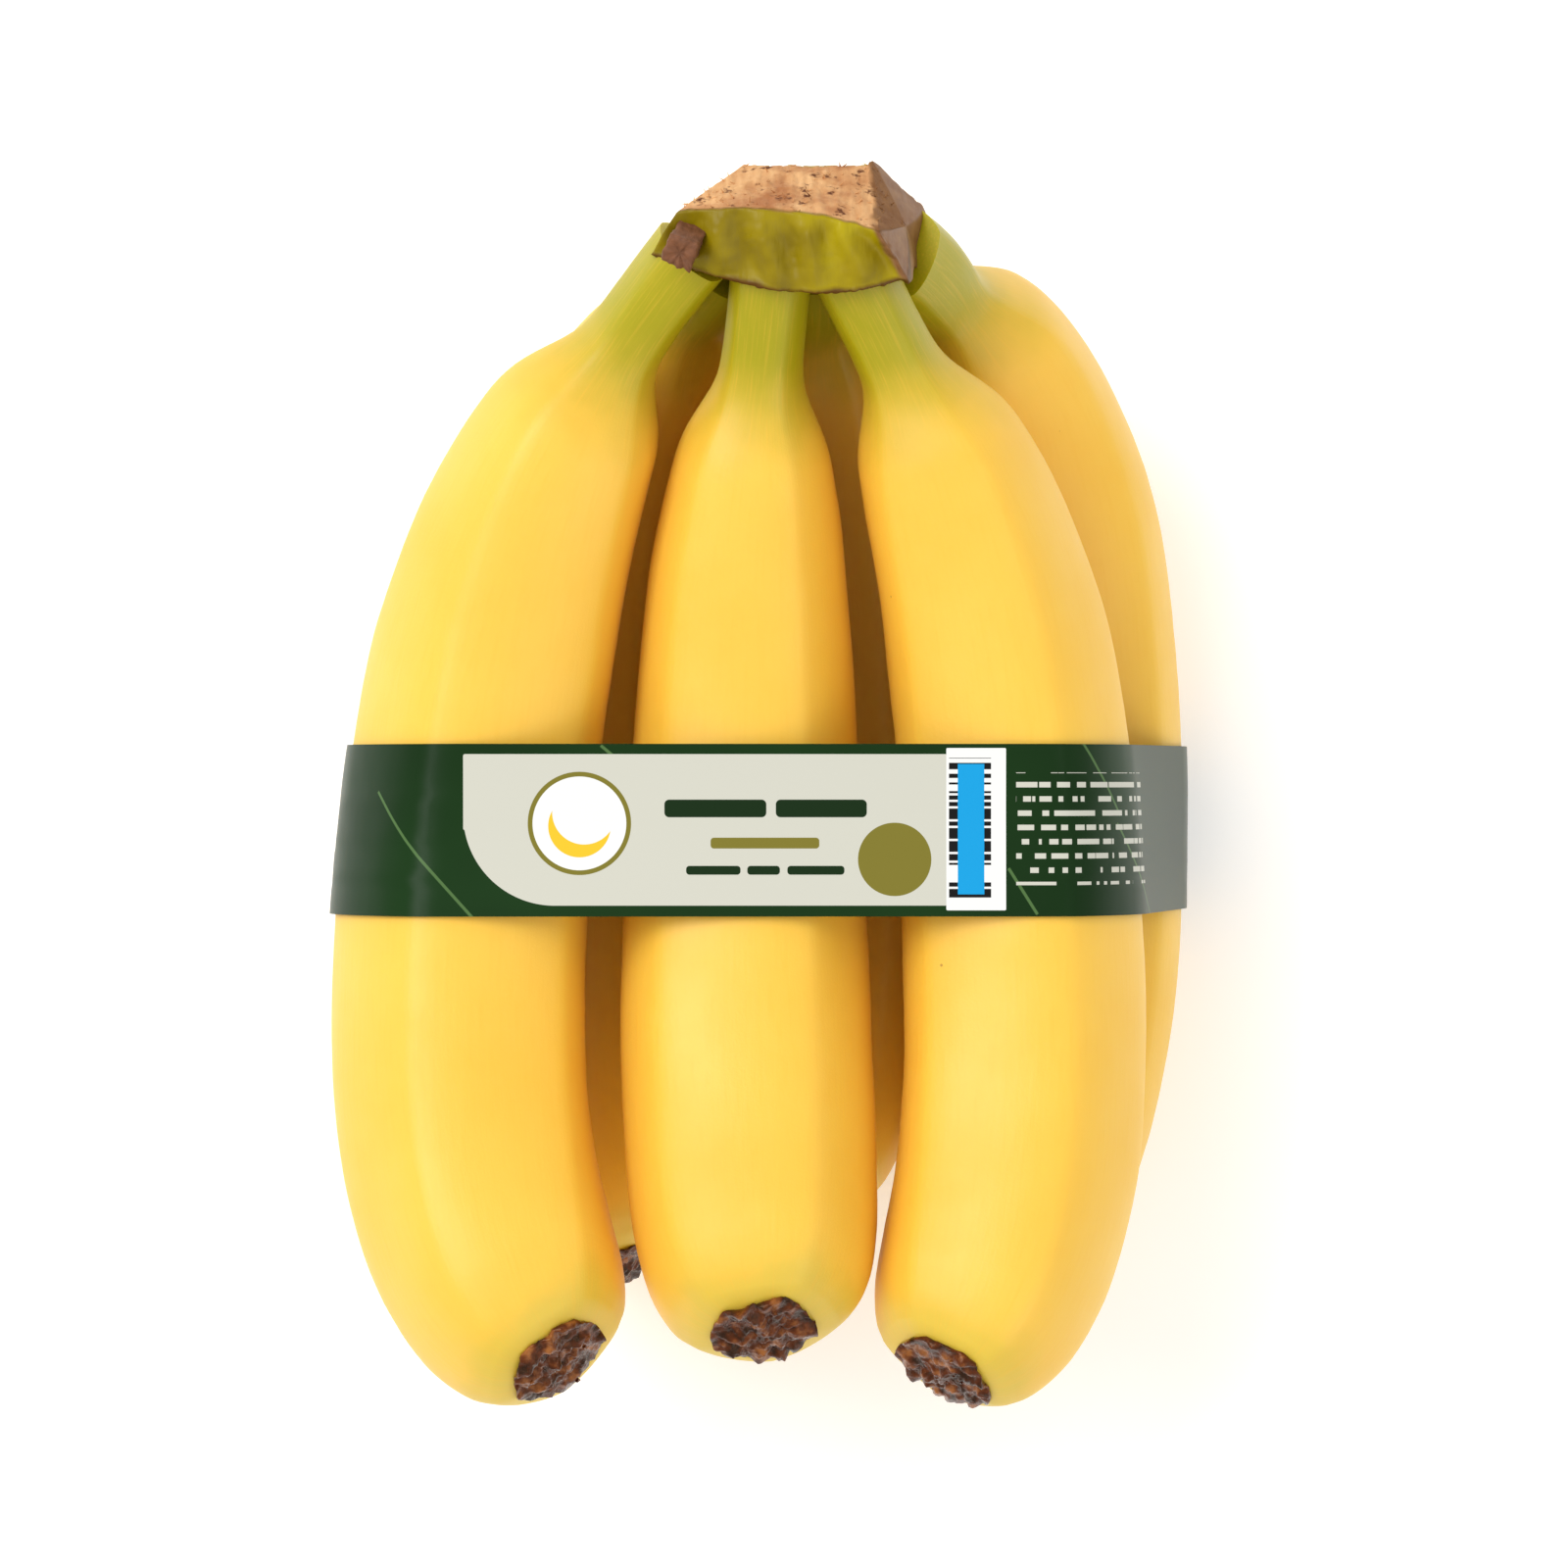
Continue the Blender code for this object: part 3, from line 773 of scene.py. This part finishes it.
def crown_surface():
    """Its points as rings from left to right, and for each how far it is cut, rim and side."""
    rails = crown_rails()
    sides = sum(EDGE_SAMPLES)
    grid = []
    for k in range(CROWN_STATIONS):
        ring = []
        for e, count in enumerate(EDGE_SAMPLES):
            t = np.arange(count)[:, None] / count
            ring.append(rails[e][k] * (1 - t) + rails[(e + 1) % 5][k] * t)
        ring = np.vstack(ring)
        near = [np.roll(ring, shift, 0) for shift in (-3, -2, -1, 0, 1, 2, 3)]
        grid.append(sum(w * r for w, r in zip((0.08, 0.14, 0.18, 0.2, 0.18, 0.14, 0.08), near)))
    ends = np.sin(np.linspace(0.06, 1, 9) * math.pi / 2)
    left, right = grid[0], grid[-1]
    first = [rounded_end(left, share, -1) for share in ends[:-1]]
    last = [rounded_end(right, share, 1) for share in ends[-2::-1]]
    rings = np.array(first + grid + last)
    u = (np.arange(len(rings)) - len(first)) / (CROWN_STATIONS - 1)
    v = np.arange(sides)
    cut_from, cut_to = EDGE_SAMPLES[0], EDGE_SAMPLES[0] + EDGE_SAMPLES[1]
    cut, rim, side = (np.zeros(rings.shape[:2]) for _ in range(3))
    moved = rings.copy()
    middle = rings.mean(1, keepdims=True)
    for i in range(len(rings)):
        for k in v:
            p = Vector(rings[i, k])
            rough = noise.noise(p / 1.6)
            jag = 1.6 * noise.noise(p / 2.6) + 0.8 * rough
            inside = min(k - cut_from, cut_to - k) + jag
            cut[i, k] = min(1, max(0, inside / 1.5 + 0.5))
            side[i, k] = min(1, max(0, (u[i] - 0.955) * 30 + 0.6 * jag))
            border = max(0, 1 - abs(k - cut_from + 0.8 * jag) / 1.1)
            from_lip = min(k, sides - k)
            rim[i, k] = min(1, max(0, 1.6 - abs(from_lip - 0.6) / 1.6 + 0.5 * jag))
            out = Vector(rings[i, k] - middle[i, 0]).normalized()
            rise = 0.18 * noise.noise(p / 3) + 0.06 * rough
            if 0 < k < cut_from and 0 <= u[i] <= 1:
                window = math.sin(math.pi * k / cut_from) ** 0.7
                rib = math.cos(math.tau * (CROWN_RIBS * u[i] + 0.25 * noise.noise(p / 9)))
                rise += RIB_HEIGHT * window * rib
            if cut[i, k] > 0.5:
                grain = noise.noise(Vector((p.x / 0.9, p.y / 5, p.z / 5)))
                rise += 0.22 * grain + 0.35 * abs(noise.noise(p / 1.1)) - 0.3
            rise += rim[i, k] * (0.35 + 0.5 * abs(noise.noise(p / 1.2)))
            rise += (0.3 + side[i, k]) * (1.3 * noise.noise(p / 5.5) + 0.7 * abs(noise.noise(p / 1.8)))
            rim[i, k] = max(rim[i, k], 0.75 * border)
            moved[i, k] = rings[i, k] + np.array(out) * rise
    return moved, cut, rim, side


# Crown: mottled green skin like the stalks', and bare fibrous pith where the knife went through,
# dried to tan with darker stains and spots.
crown_wood, tree, shader = finish_named("green_crown_with_dried_cut")
place = add(tree, "ShaderNodeTexCoord").outputs["Object"]
masks = {
    name: add(tree, "ShaderNodeAttribute", attribute_name=name).outputs["Fac"]
    for name in ("cut", "rim", "side")
}
mottle = add(tree, "ShaderNodeTexNoise", {"Vector": place, "Scale": 90.0, "Detail": 3.0})
skin_tone = add(tree, "ShaderNodeValToRGB", {"Fac": mottle.outputs["Fac"]})
skin_tone.color_ramp.elements[0].position = 0.32
skin_tone.color_ramp.elements[0].color = linear(CROWN_GREEN_DARK)
skin_tone.color_ramp.elements[1].position = 0.68
skin_tone.color_ramp.elements[1].color = linear(CROWN_GREEN_LIGHT)
skin_tone.color_ramp.elements.new(0.5).color = linear(CROWN_GREEN)
fibres = add(tree, "ShaderNodeMapping", {"Vector": place, "Scale": (1.0, 0.18, 0.18)})
grain = add(tree, "ShaderNodeTexNoise", {"Vector": fibres.outputs[0], "Scale": 1100.0, "Detail": 4.0})
wood = add(
    tree,
    "ShaderNodeMix",
    {0: grain.outputs["Fac"], 6: linear(CUT_TAN), 7: linear(CUT_PALE)},
    data_type="RGBA",
)
spots = add(tree, "ShaderNodeTexNoise", {"Vector": place, "Scale": 330.0, "Detail": 5.0, "Roughness": 0.65})
spotted = add(
    tree, "ShaderNodeMapRange", {"Value": spots.outputs["Fac"], "From Min": 0.57, "From Max": 0.65}
)
blotch = add(tree, "ShaderNodeTexNoise", {"Vector": place, "Scale": 110.0, "Detail": 4.0})
blotched = add(
    tree,
    "ShaderNodeMapRange",
    {"Value": blotch.outputs["Fac"], "From Min": 0.46, "From Max": 0.64, "To Min": 0.0, "To Max": 0.75},
)
aged = add(
    tree,
    "ShaderNodeMix",
    {0: blotched.outputs[0], 6: wood.outputs[2], 7: linear(CUT_STAIN)},
    data_type="RGBA",
)
stained = add(
    tree,
    "ShaderNodeMix",
    {0: spotted.outputs[0], 6: aged.outputs[2], 7: linear(CUT_SPOT)},
    data_type="RGBA",
)
body = add(
    tree,
    "ShaderNodeMix",
    {0: masks["cut"], 6: skin_tone.outputs["Color"], 7: stained.outputs[2]},
    data_type="RGBA",
)
weathered = add(
    tree,
    "ShaderNodeMix",
    {0: spots.outputs["Fac"], 6: linear(SIDE_GREY), 7: linear(CUT_SPOT)},
    data_type="RGBA",
)
flank = add(
    tree, "ShaderNodeMix", {0: masks["side"], 6: body.outputs[2], 7: weathered.outputs[2]}, data_type="RGBA"
)
edged = add(
    tree, "ShaderNodeMix", {0: masks["rim"], 6: flank.outputs[2], 7: linear(RIM_BROWN)}, data_type="RGBA"
)
tree.links.new(edged.outputs[2], shader.inputs["Base Color"])
dull = add(tree, "ShaderNodeMapRange", {"Value": masks["cut"], "To Min": 0.42, "To Max": 0.85})
tree.links.new(dull.outputs[0], shader.inputs["Roughness"])
shader.inputs["Specular IOR Level"].default_value = 0.2
rough = add(
    tree, "ShaderNodeBump", {"Height": grain.outputs["Fac"], "Strength": 0.5, "Distance": 0.0003}
)
tree.links.new(rough.outputs[0], shader.inputs["Normal"])

rings, cut, rim, side = crown_surface()
data = solid_of("crown", list(rings + ORIGIN))
for name, values in (("cut", cut), ("rim", rim), ("side", side)):
    ends = [values[0].mean(), values[-1].mean()]
    mark(data, name, np.r_[values.ravel(), ends])
sizes = {
    "Density": 160000.0,
    "Length": 0.0011,
    "Thickness": 0.00016,
    "Lean": 1.2,
    "Where": "cut",
    "Seed": 11,
    "Finish": crown_wood,
}
crown = grown_by(splinters, "crown_pad", data, sizes)
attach(crown, "root")
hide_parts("crown")


# ---------------------------------------------------------------------------------------------
# The stump: what is left of a seventh finger that was cut away, a short square peg of dried brown
# fibre on the left end of the crown's lip, split and rough at its end.

STUMP_LENGTH = 6.5
STUMP_WIDTH = 5.2
STUMP_BROWN = "#8a5530"
STUMP_DARK = "#4a2812"


def stump_rows():
    """Rings along the peg, from inside the crown to its rough end."""
    base = np.array([-0.73 * CROWN_WIDTH / 2, LIP_Y + 8.2, CROWN_TOP - 4.6]) + ORIGIN
    way = np.array([-0.22, -0.45, 0.87])
    way /= np.linalg.norm(way)
    across = np.cross(way, [0.3, 1, 0])
    across /= np.linalg.norm(across)
    along = np.cross(way, across)
    corners = np.array([(-1, -0.8), (0.8, -1), (1, 0.8), (-0.8, 1)], float)
    square = np.vstack(
        [corners[k] * (1 - t) + corners[(k + 1) % 4] * t for k in range(4) for t in np.linspace(0, 0.9, 10)]
    )
    square = (np.roll(square, 1, 0) + 2 * square + np.roll(square, -1, 0)) / 4
    rows = []
    shaft = [(t, 1 - 0.1 * math.sin(t * 3.14)) for t in np.linspace(0, 0.94, 22)]
    for share, width in (*shaft, (1.0, 0.9), (1.0, 0.6), (0.96, 0.3)):
        row = []
        for a, b in square:
            p = base + way * STUMP_LENGTH * share + STUMP_WIDTH / 2 * width * (a * across + b * along)
            fold = noise.noise(Vector((a * 4, b * 4, share * 1.5))) + 0.5 * noise.noise(Vector(p) / 0.8)
            row.append(p + (a * across + b * along) * 0.3 * fold + way * 0.5 * share * fold)
        rows.append(np.array(row))
    return rows


# Stump: dried brown plant fibre, dull and stringy.
stump_wood, tree, shader = finish_named("dried_brown_stump")
place = add(tree, "ShaderNodeTexCoord").outputs["Object"]
streaks = add(tree, "ShaderNodeMapping", {"Vector": place, "Scale": (1.0, 1.0, 0.2)})
strand = add(tree, "ShaderNodeTexNoise", {"Vector": streaks.outputs[0], "Scale": 900.0, "Detail": 4.0})
brown = add(
    tree,
    "ShaderNodeMix",
    {0: strand.outputs["Fac"], 6: linear(STUMP_DARK), 7: linear(STUMP_BROWN)},
    data_type="RGBA",
)
tree.links.new(brown.outputs[2], shader.inputs["Base Color"])
shader.inputs["Roughness"].default_value = 0.7
frayed = add(
    tree, "ShaderNodeBump", {"Height": strand.outputs["Fac"], "Strength": 0.7, "Distance": 0.0004}
)
tree.links.new(frayed.outputs[0], shader.inputs["Normal"])
data = solid_of("stump", stump_rows())
data.materials.append(stump_wood)
stump = bpy.data.objects.new("cut_finger_stump", data)
bpy.context.scene.collection.objects.link(stump)
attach(stump, "root")
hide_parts("cut_stump")


# ---------------------------------------------------------------------------------------------
# The wrap band: a strip of printed plastic film, pulled tight round the bunch and welded where
# its ends lap on the lower left. The print is a dark leaf ground with a pale panel.

BAND_WIDTH = 25.4
BAND_THICKNESS = 0.4
BAND_CLEARANCE = 0.5
BAND_LAP = 14.0
LAP_START = 4.0
LAP_RISE = 0.45
BAND_MIDDLE = BELLY_Y + 3.2 + ORIGIN[1]
BAND_WAYS = 240
BAND_ROWS = 15
BAND_STEPS = 480

LEAF_GREEN_DEEP = "#0a2208"
LEAF_GREEN_LIT = "#163812"
VEIN_GREEN = "#4c6a3c"
PANEL_BEIGE = "#c3c2b5"
HEADING_GREEN = "#12290f"
SEAL_OLIVE = "#776f2a"
PATCH_WHITE = "#e2e2df"
BLOCK_BLUE = "#1595cf"
BAR_BLACK = "#141414"
BADGE_YELLOW = "#e9b92c"
BAR_STEP = 0.32
LINE_STEP = 2.1
LINE_HEIGHT = 0.8


def taut_section(y):
    """Where a tight strip runs round the fingers in the plane at y, as (points, outward ways)."""
    cloud = []
    for skin in SKINS.values():
        lower = skin[24:]
        for k in range(PEEL_SIDES):
            line = lower[:, k]
            if line[:, 1].min() < y < line[:, 1].max():
                cloud.append([np.interp(-y, -line[:, 1], line[:, i]) for i in (0, 2)])
    cloud = np.array(cloud)
    turn = (np.arange(BAND_WAYS) + 0.5) * math.tau / BAND_WAYS
    ways = np.stack([np.cos(turn), np.sin(turn)], 1)
    return cloud[(cloud @ ways.T).argmax(0)], ways


def band_paths():
    """The strip's outer face as lines round the bunch, one for each step across its width."""
    heights = BAND_MIDDLE + BAND_WIDTH * np.linspace(-0.5, 0.5, BAND_ROWS)
    found = [taut_section(y) for y in heights]
    turn = (np.arange(BAND_WAYS) + 0.5) * 360 / BAND_WAYS
    paths = []
    for y, (points, ways) in zip(heights, found):
        runs = np.linalg.norm(np.roll(points, -1, 0) - points, axis=1)
        runs[(turn < 185) | (turn > 260)] = 0
        start = int(runs.argmax())
        outer = points + ways * (BAND_CLEARANCE + BAND_THICKNESS)
        outer[:, 1] = np.maximum(outer[:, 1], 0.02)
        loop = np.roll(outer, -(start + 1), 0)
        a, b = loop[-1], loop[0]
        along = (b - a) / np.linalg.norm(b - a)
        away = np.array([along[1], -along[0]])
        begin = a + LAP_START * along
        over = [
            a + (LAP_START - 0.6) * along,
            a + (LAP_START + 0.2) * along + LAP_RISE * away,
            a + (LAP_START + BAND_LAP) * along + LAP_RISE * away,
        ]
        flat = np.vstack([begin, loop, over])
        lengths = np.r_[0, np.cumsum(np.linalg.norm(np.diff(flat, axis=0), axis=1))]
        at = np.linspace(0, lengths[-1], BAND_STEPS)
        x, z = (np.interp(at, lengths, flat[:, i]) for i in (0, 1))
        paths.append(np.stack([x, np.full(len(at), y), z], 1))
    return np.array(paths)


def band_mesh(paths):
    """The strip's outer face, with its print laid out in millimetres on the UV map, and its length."""
    mesh = bmesh.new()
    outer = [[mesh.verts.new(Vector(p) * MM) for p in path] for path in paths]
    layer = mesh.loops.layers.uv.new("print")
    across = []
    for path in paths:
        lengths = np.r_[0, np.cumsum(np.linalg.norm(np.diff(path, axis=0), axis=1))]
        crest = int(path[:, 2].argmax())
        across.append(path[crest, 0] - (lengths - lengths[crest]))
    for j in range(BAND_ROWS - 1):
        for k in range(BAND_STEPS - 1):
            face = mesh.faces.new((outer[j][k], outer[j + 1][k], outer[j + 1][k + 1], outer[j][k + 1]))
            for loop, (row, column) in zip(face.loops, ((j, k), (j + 1, k), (j + 1, k + 1), (j, k + 1))):
                v = BAND_WIDTH * (row / (BAND_ROWS - 1) - 0.5)
                loop[layer].uv = (across[row][column], v)
    mesh.normal_update()
    data = bpy.data.meshes.new("band")
    mesh.to_mesh(data)
    mesh.free()
    middle = across[BAND_ROWS // 2]
    return data, float(middle[0] - middle[-1])


def block_group():
    """A node group: 1 inside a block with rounded corners on the print, 0 outside it."""
    group = bpy.data.node_groups.new("printed_block", "ShaderNodeTree")
    kinds = {"Place": "Vector", "Centre": "Vector", "Half": "Vector", "Corner": "Float"}
    for name, kind in kinds.items():
        group.interface.new_socket(name=name, in_out="INPUT", socket_type="NodeSocket" + kind)
    group.interface.new_socket(name="Ink", in_out="OUTPUT", socket_type="NodeSocketFloat")
    given = group.nodes.new("NodeGroupInput").outputs
    out = group.nodes.new("NodeGroupOutput")
    away = add(group, "ShaderNodeVectorMath", {0: given["Place"], 1: given["Centre"]}, operation="SUBTRACT")
    folded = add(group, "ShaderNodeVectorMath", {0: away.outputs[0]}, operation="ABSOLUTE")
    past = add(group, "ShaderNodeVectorMath", {0: folded.outputs[0], 1: given["Half"]}, operation="SUBTRACT")
    corner = add(group, "ShaderNodeCombineXYZ", {0: given["Corner"], 1: given["Corner"]})
    widened = add(group, "ShaderNodeVectorMath", {0: past.outputs[0], 1: corner.outputs[0]}, operation="ADD")
    outside = add(group, "ShaderNodeVectorMath", {0: widened.outputs[0], 1: (0, 0, 0)}, operation="MAXIMUM")
    flat = add(group, "ShaderNodeVectorMath", {0: outside.outputs[0], 1: (1, 1, 0)}, operation="MULTIPLY")
    distance = add(group, "ShaderNodeVectorMath", {0: flat.outputs[0]}, operation="LENGTH")
    least = add(group, "ShaderNodeMath", {0: given["Corner"], 1: 0.001}, operation="ADD")
    near = add(
        group,
        "ShaderNodeMath",
        {0: distance.outputs["Value"], 1: least.outputs[0]},
        operation="LESS_THAN",
    )
    group.links.new(near.outputs[0], out.inputs[0])
    return group


# Band: thin printed label film, satin, with a dark leaf ground and a pale panel.
film, tree, shader = finish_named("printed_glossy_film")
place = add(tree, "ShaderNodeUVMap", uv_map="print").outputs[0]
BLOCK = block_group()


def block(centre, half, corner, on=None):
    """The ink of one block on the print, sizes in millimetres."""
    given = {"Place": on or place, "Centre": (*centre, 0), "Half": (*half, 0), "Corner": corner}
    return add(tree, "ShaderNodeGroup", given, node_tree=BLOCK).outputs[0]


def inked(under, ink, colour):
    """The print with this colour laid over it where there is ink."""
    return add(tree, "ShaderNodeMix", {0: ink, 6: under, 7: linear(colour)}, data_type="RGBA").outputs[2]


def tilted(degrees, x, y):
    """The place on the print as seen from (x, y) with the axes turned."""
    turned = add(
        tree,
        "ShaderNodeMapping",
        {"Vector": place, "Rotation": (0, 0, math.radians(degrees)), "Location": (x, y, 0)},
        vector_type="TEXTURE",
    )
    return turned.outputs[0]


object_place = add(tree, "ShaderNodeTexCoord").outputs["Object"]
shadow = add(tree, "ShaderNodeTexNoise", {"Vector": object_place, "Scale": 40.0, "Detail": 2.0})
ground = add(
    tree,
    "ShaderNodeMix",
    {0: shadow.outputs["Fac"], 6: linear(LEAF_GREEN_DEEP), 7: linear(LEAF_GREEN_LIT)},
    data_type="RGBA",
).outputs[2]
for degrees, x, y, length in (
    (-48, -52, -4, 13),
    (-40, -24, 11.5, 1.5),
    (-50, 50, 9, 9),
    (-58, 37, -9, 4),
    (-44, 62, -6, 10),
):
    vein = block((0, 0), (length, 0.22), 0.1, tilted(degrees, x, y))
    ground = inked(ground, vein, VEIN_GREEN)
ground = inked(ground, block((-9.85, 0.05), (35.55, 11.15), 13.5), PANEL_BEIGE)
ground = inked(ground, block((-9.85, 5.6), (35.55, 5.6), 0.3), PANEL_BEIGE)
ground = inked(ground, block((6.0, 0.05), (19.7, 11.15), 0.1), PANEL_BEIGE)
for centre, half, corner, colour in (
    ((-28.3, 1.0), (7.6, 7.6), 7.6, SEAL_OLIVE),
    ((-28.3, 1.0), (6.9, 6.9), 6.9, PATCH_WHITE),
    ((-28.3, 0.6), (4.6, 4.6), 4.6, BADGE_YELLOW),
    ((-27.6, 2.6), (4.7, 4.7), 4.7, PATCH_WHITE),
    ((-8.3, 3.2), (7.5, 1.3), 0.7, HEADING_GREEN),
    ((7.3, 3.2), (6.7, 1.3), 0.7, HEADING_GREEN),
    ((-1.0, -1.9), (8.0, 0.8), 0.5, SEAL_OLIVE),
    ((-8.6, -5.9), (4.0, 0.65), 0.5, HEADING_GREEN),
    ((-1.2, -5.9), (2.4, 0.65), 0.5, HEADING_GREEN),
    ((6.5, -5.9), (4.2, 0.65), 0.5, HEADING_GREEN),
    ((18.1, -4.3), (5.4, 5.4), 5.4, SEAL_OLIVE),
    ((30.1, 0.15), (4.4, 11.95), 0.2, PATCH_WHITE),
):
    ground = inked(ground, block(centre, half, corner), colour)
xy = add(tree, "ShaderNodeSeparateXYZ", {0: place})
step = add(tree, "ShaderNodeMath", {0: xy.outputs["Y"], 1: BAR_STEP}, operation="SNAP")
random_bar = add(tree, "ShaderNodeTexWhiteNoise", {"W": step.outputs[0]}, noise_dimensions="1D")
dark_bar = add(tree, "ShaderNodeMath", {0: random_bar.outputs["Value"], 1: 0.45}, operation="GREATER_THAN")
bar_patch = block((29.2, 0.15), (3.1, 10.5), 0.0)
bars = add(tree, "ShaderNodeMath", {0: dark_bar.outputs[0], 1: bar_patch}, operation="MULTIPLY")
ground = inked(ground, bars.outputs[0], BAR_BLACK)
ground = inked(ground, block((29.35, 0.15), (1.95, 9.6), 0.0), BLOCK_BLUE)
row = add(tree, "ShaderNodeMath", {0: xy.outputs["Y"], 1: LINE_STEP}, operation="SNAP")
height = add(tree, "ShaderNodeMath", {0: xy.outputs["Y"], 1: row.outputs[0]}, operation="SUBTRACT")
thin = add(tree, "ShaderNodeMath", {0: height.outputs[0], 1: LINE_HEIGHT}, operation="LESS_THAN")
letters = add(tree, "ShaderNodeCombineXYZ", {"X": xy.outputs["X"], "Y": row.outputs[0]})
words = add(tree, "ShaderNodeTexNoise", {"Vector": letters.outputs[0], "Scale": 0.55, "Detail": 1.0})
word = add(tree, "ShaderNodeMath", {0: words.outputs["Fac"], 1: 0.47}, operation="GREATER_THAN")
line = add(tree, "ShaderNodeMath", {0: thin.outputs[0], 1: word.outputs[0]}, operation="MULTIPLY")
print_patch = block((51.0, 0.2), (15.0, 8.3), 0.0)
small_print = add(tree, "ShaderNodeMath", {0: line.outputs[0], 1: print_patch}, operation="MULTIPLY")
ground = inked(ground, small_print.outputs[0], PANEL_BEIGE)
tree.links.new(ground, shader.inputs["Base Color"])
shader.inputs["Roughness"].default_value = 0.3
shader.inputs["IOR"].default_value = 1.5
shader.inputs["Specular IOR Level"].default_value = 0.12

data, band_length = band_mesh(band_paths())
data.materials.append(film)
band = bpy.data.objects.new("printed_wrap_band", data)
bpy.context.scene.collection.objects.link(band)
walled = band.modifiers.new("Film", "SOLIDIFY")
walled.thickness = BAND_THICKNESS * MM
walled.offset = -1.0
graph = bpy.context.evaluated_depsgraph_get()
graph.update()
band.data = bpy.data.meshes.new_from_object(
    band.evaluated_get(graph), preserve_all_data_layers=True, depsgraph=graph
)
band.modifiers.clear()
band.data.shade_smooth()
band.data.set_sharp_from_angle(angle=math.radians(35))
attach(band, "root")
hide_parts("wrap_band")


# ---------------------------------------------------------------------------------------------
# The stage: an opal acrylic light table under two softboxes, seen from straight above through a
# long lens.

FLOOR_WHITE = "#fbfbfa"
TABLE_GLOW = 0.22
SKY_STRENGTH = 0.72
CAMERA_HEIGHT = 0.907
FOCAL_LENGTH = 129.2

floor_mesh = bmesh.new()
bmesh.ops.create_grid(floor_mesh, x_segments=4, y_segments=4, size=1.5)
floor_data = bpy.data.meshes.new("floor")
floor_mesh.to_mesh(floor_data)
floor_mesh.free()
floor = bpy.data.objects.new("floor", floor_data)
bpy.context.scene.collection.objects.link(floor)
# Table: matte opal acrylic, lit faintly from below.
opal, tree, shader = finish_named("opal_acrylic_sheet")
shader.inputs["Base Color"].default_value = linear(FLOOR_WHITE)
shader.inputs["Roughness"].default_value = 0.9
shader.inputs["Emission Color"].default_value = linear(FLOOR_WHITE)
shader.inputs["Emission Strength"].default_value = TABLE_GLOW
floor_data.materials.append(opal)

world = bpy.data.worlds.new("studio")
world.use_nodes = True
sky = world.node_tree.nodes["Background"]
sky.inputs["Color"].default_value = (1, 1, 1, 1)
sky.inputs["Strength"].default_value = SKY_STRENGTH
bpy.context.scene.world = world

centre = Vector((ORIGIN[0] * MM, ORIGIN[1] * MM, 0.05))
for name, place, size, power in (
    ("key_softbox", (-0.7, 0.45, 1.2), 0.9, 14.2),
    ("fill_softbox", (0.8, -0.6, 1.0), 1.0, 3.5),
):
    lamp = bpy.data.lights.new(name, "AREA")
    lamp.energy = power
    lamp.size = size
    light = bpy.data.objects.new(name, lamp)
    light.location = place
    light.rotation_euler = (centre - Vector(place)).to_track_quat("-Z", "Y").to_euler()
    bpy.context.scene.collection.objects.link(light)

lens = bpy.data.cameras.new("camera")
lens.sensor_width = 36.0
lens.lens = FOCAL_LENGTH
camera = bpy.data.objects.new("camera", lens)
camera.location = (ORIGIN[0] * MM, ORIGIN[1] * MM, CAMERA_HEIGHT)
bpy.context.scene.collection.objects.link(camera)
bpy.context.scene.camera = camera
bpy.context.scene.view_settings.view_transform = "Standard"
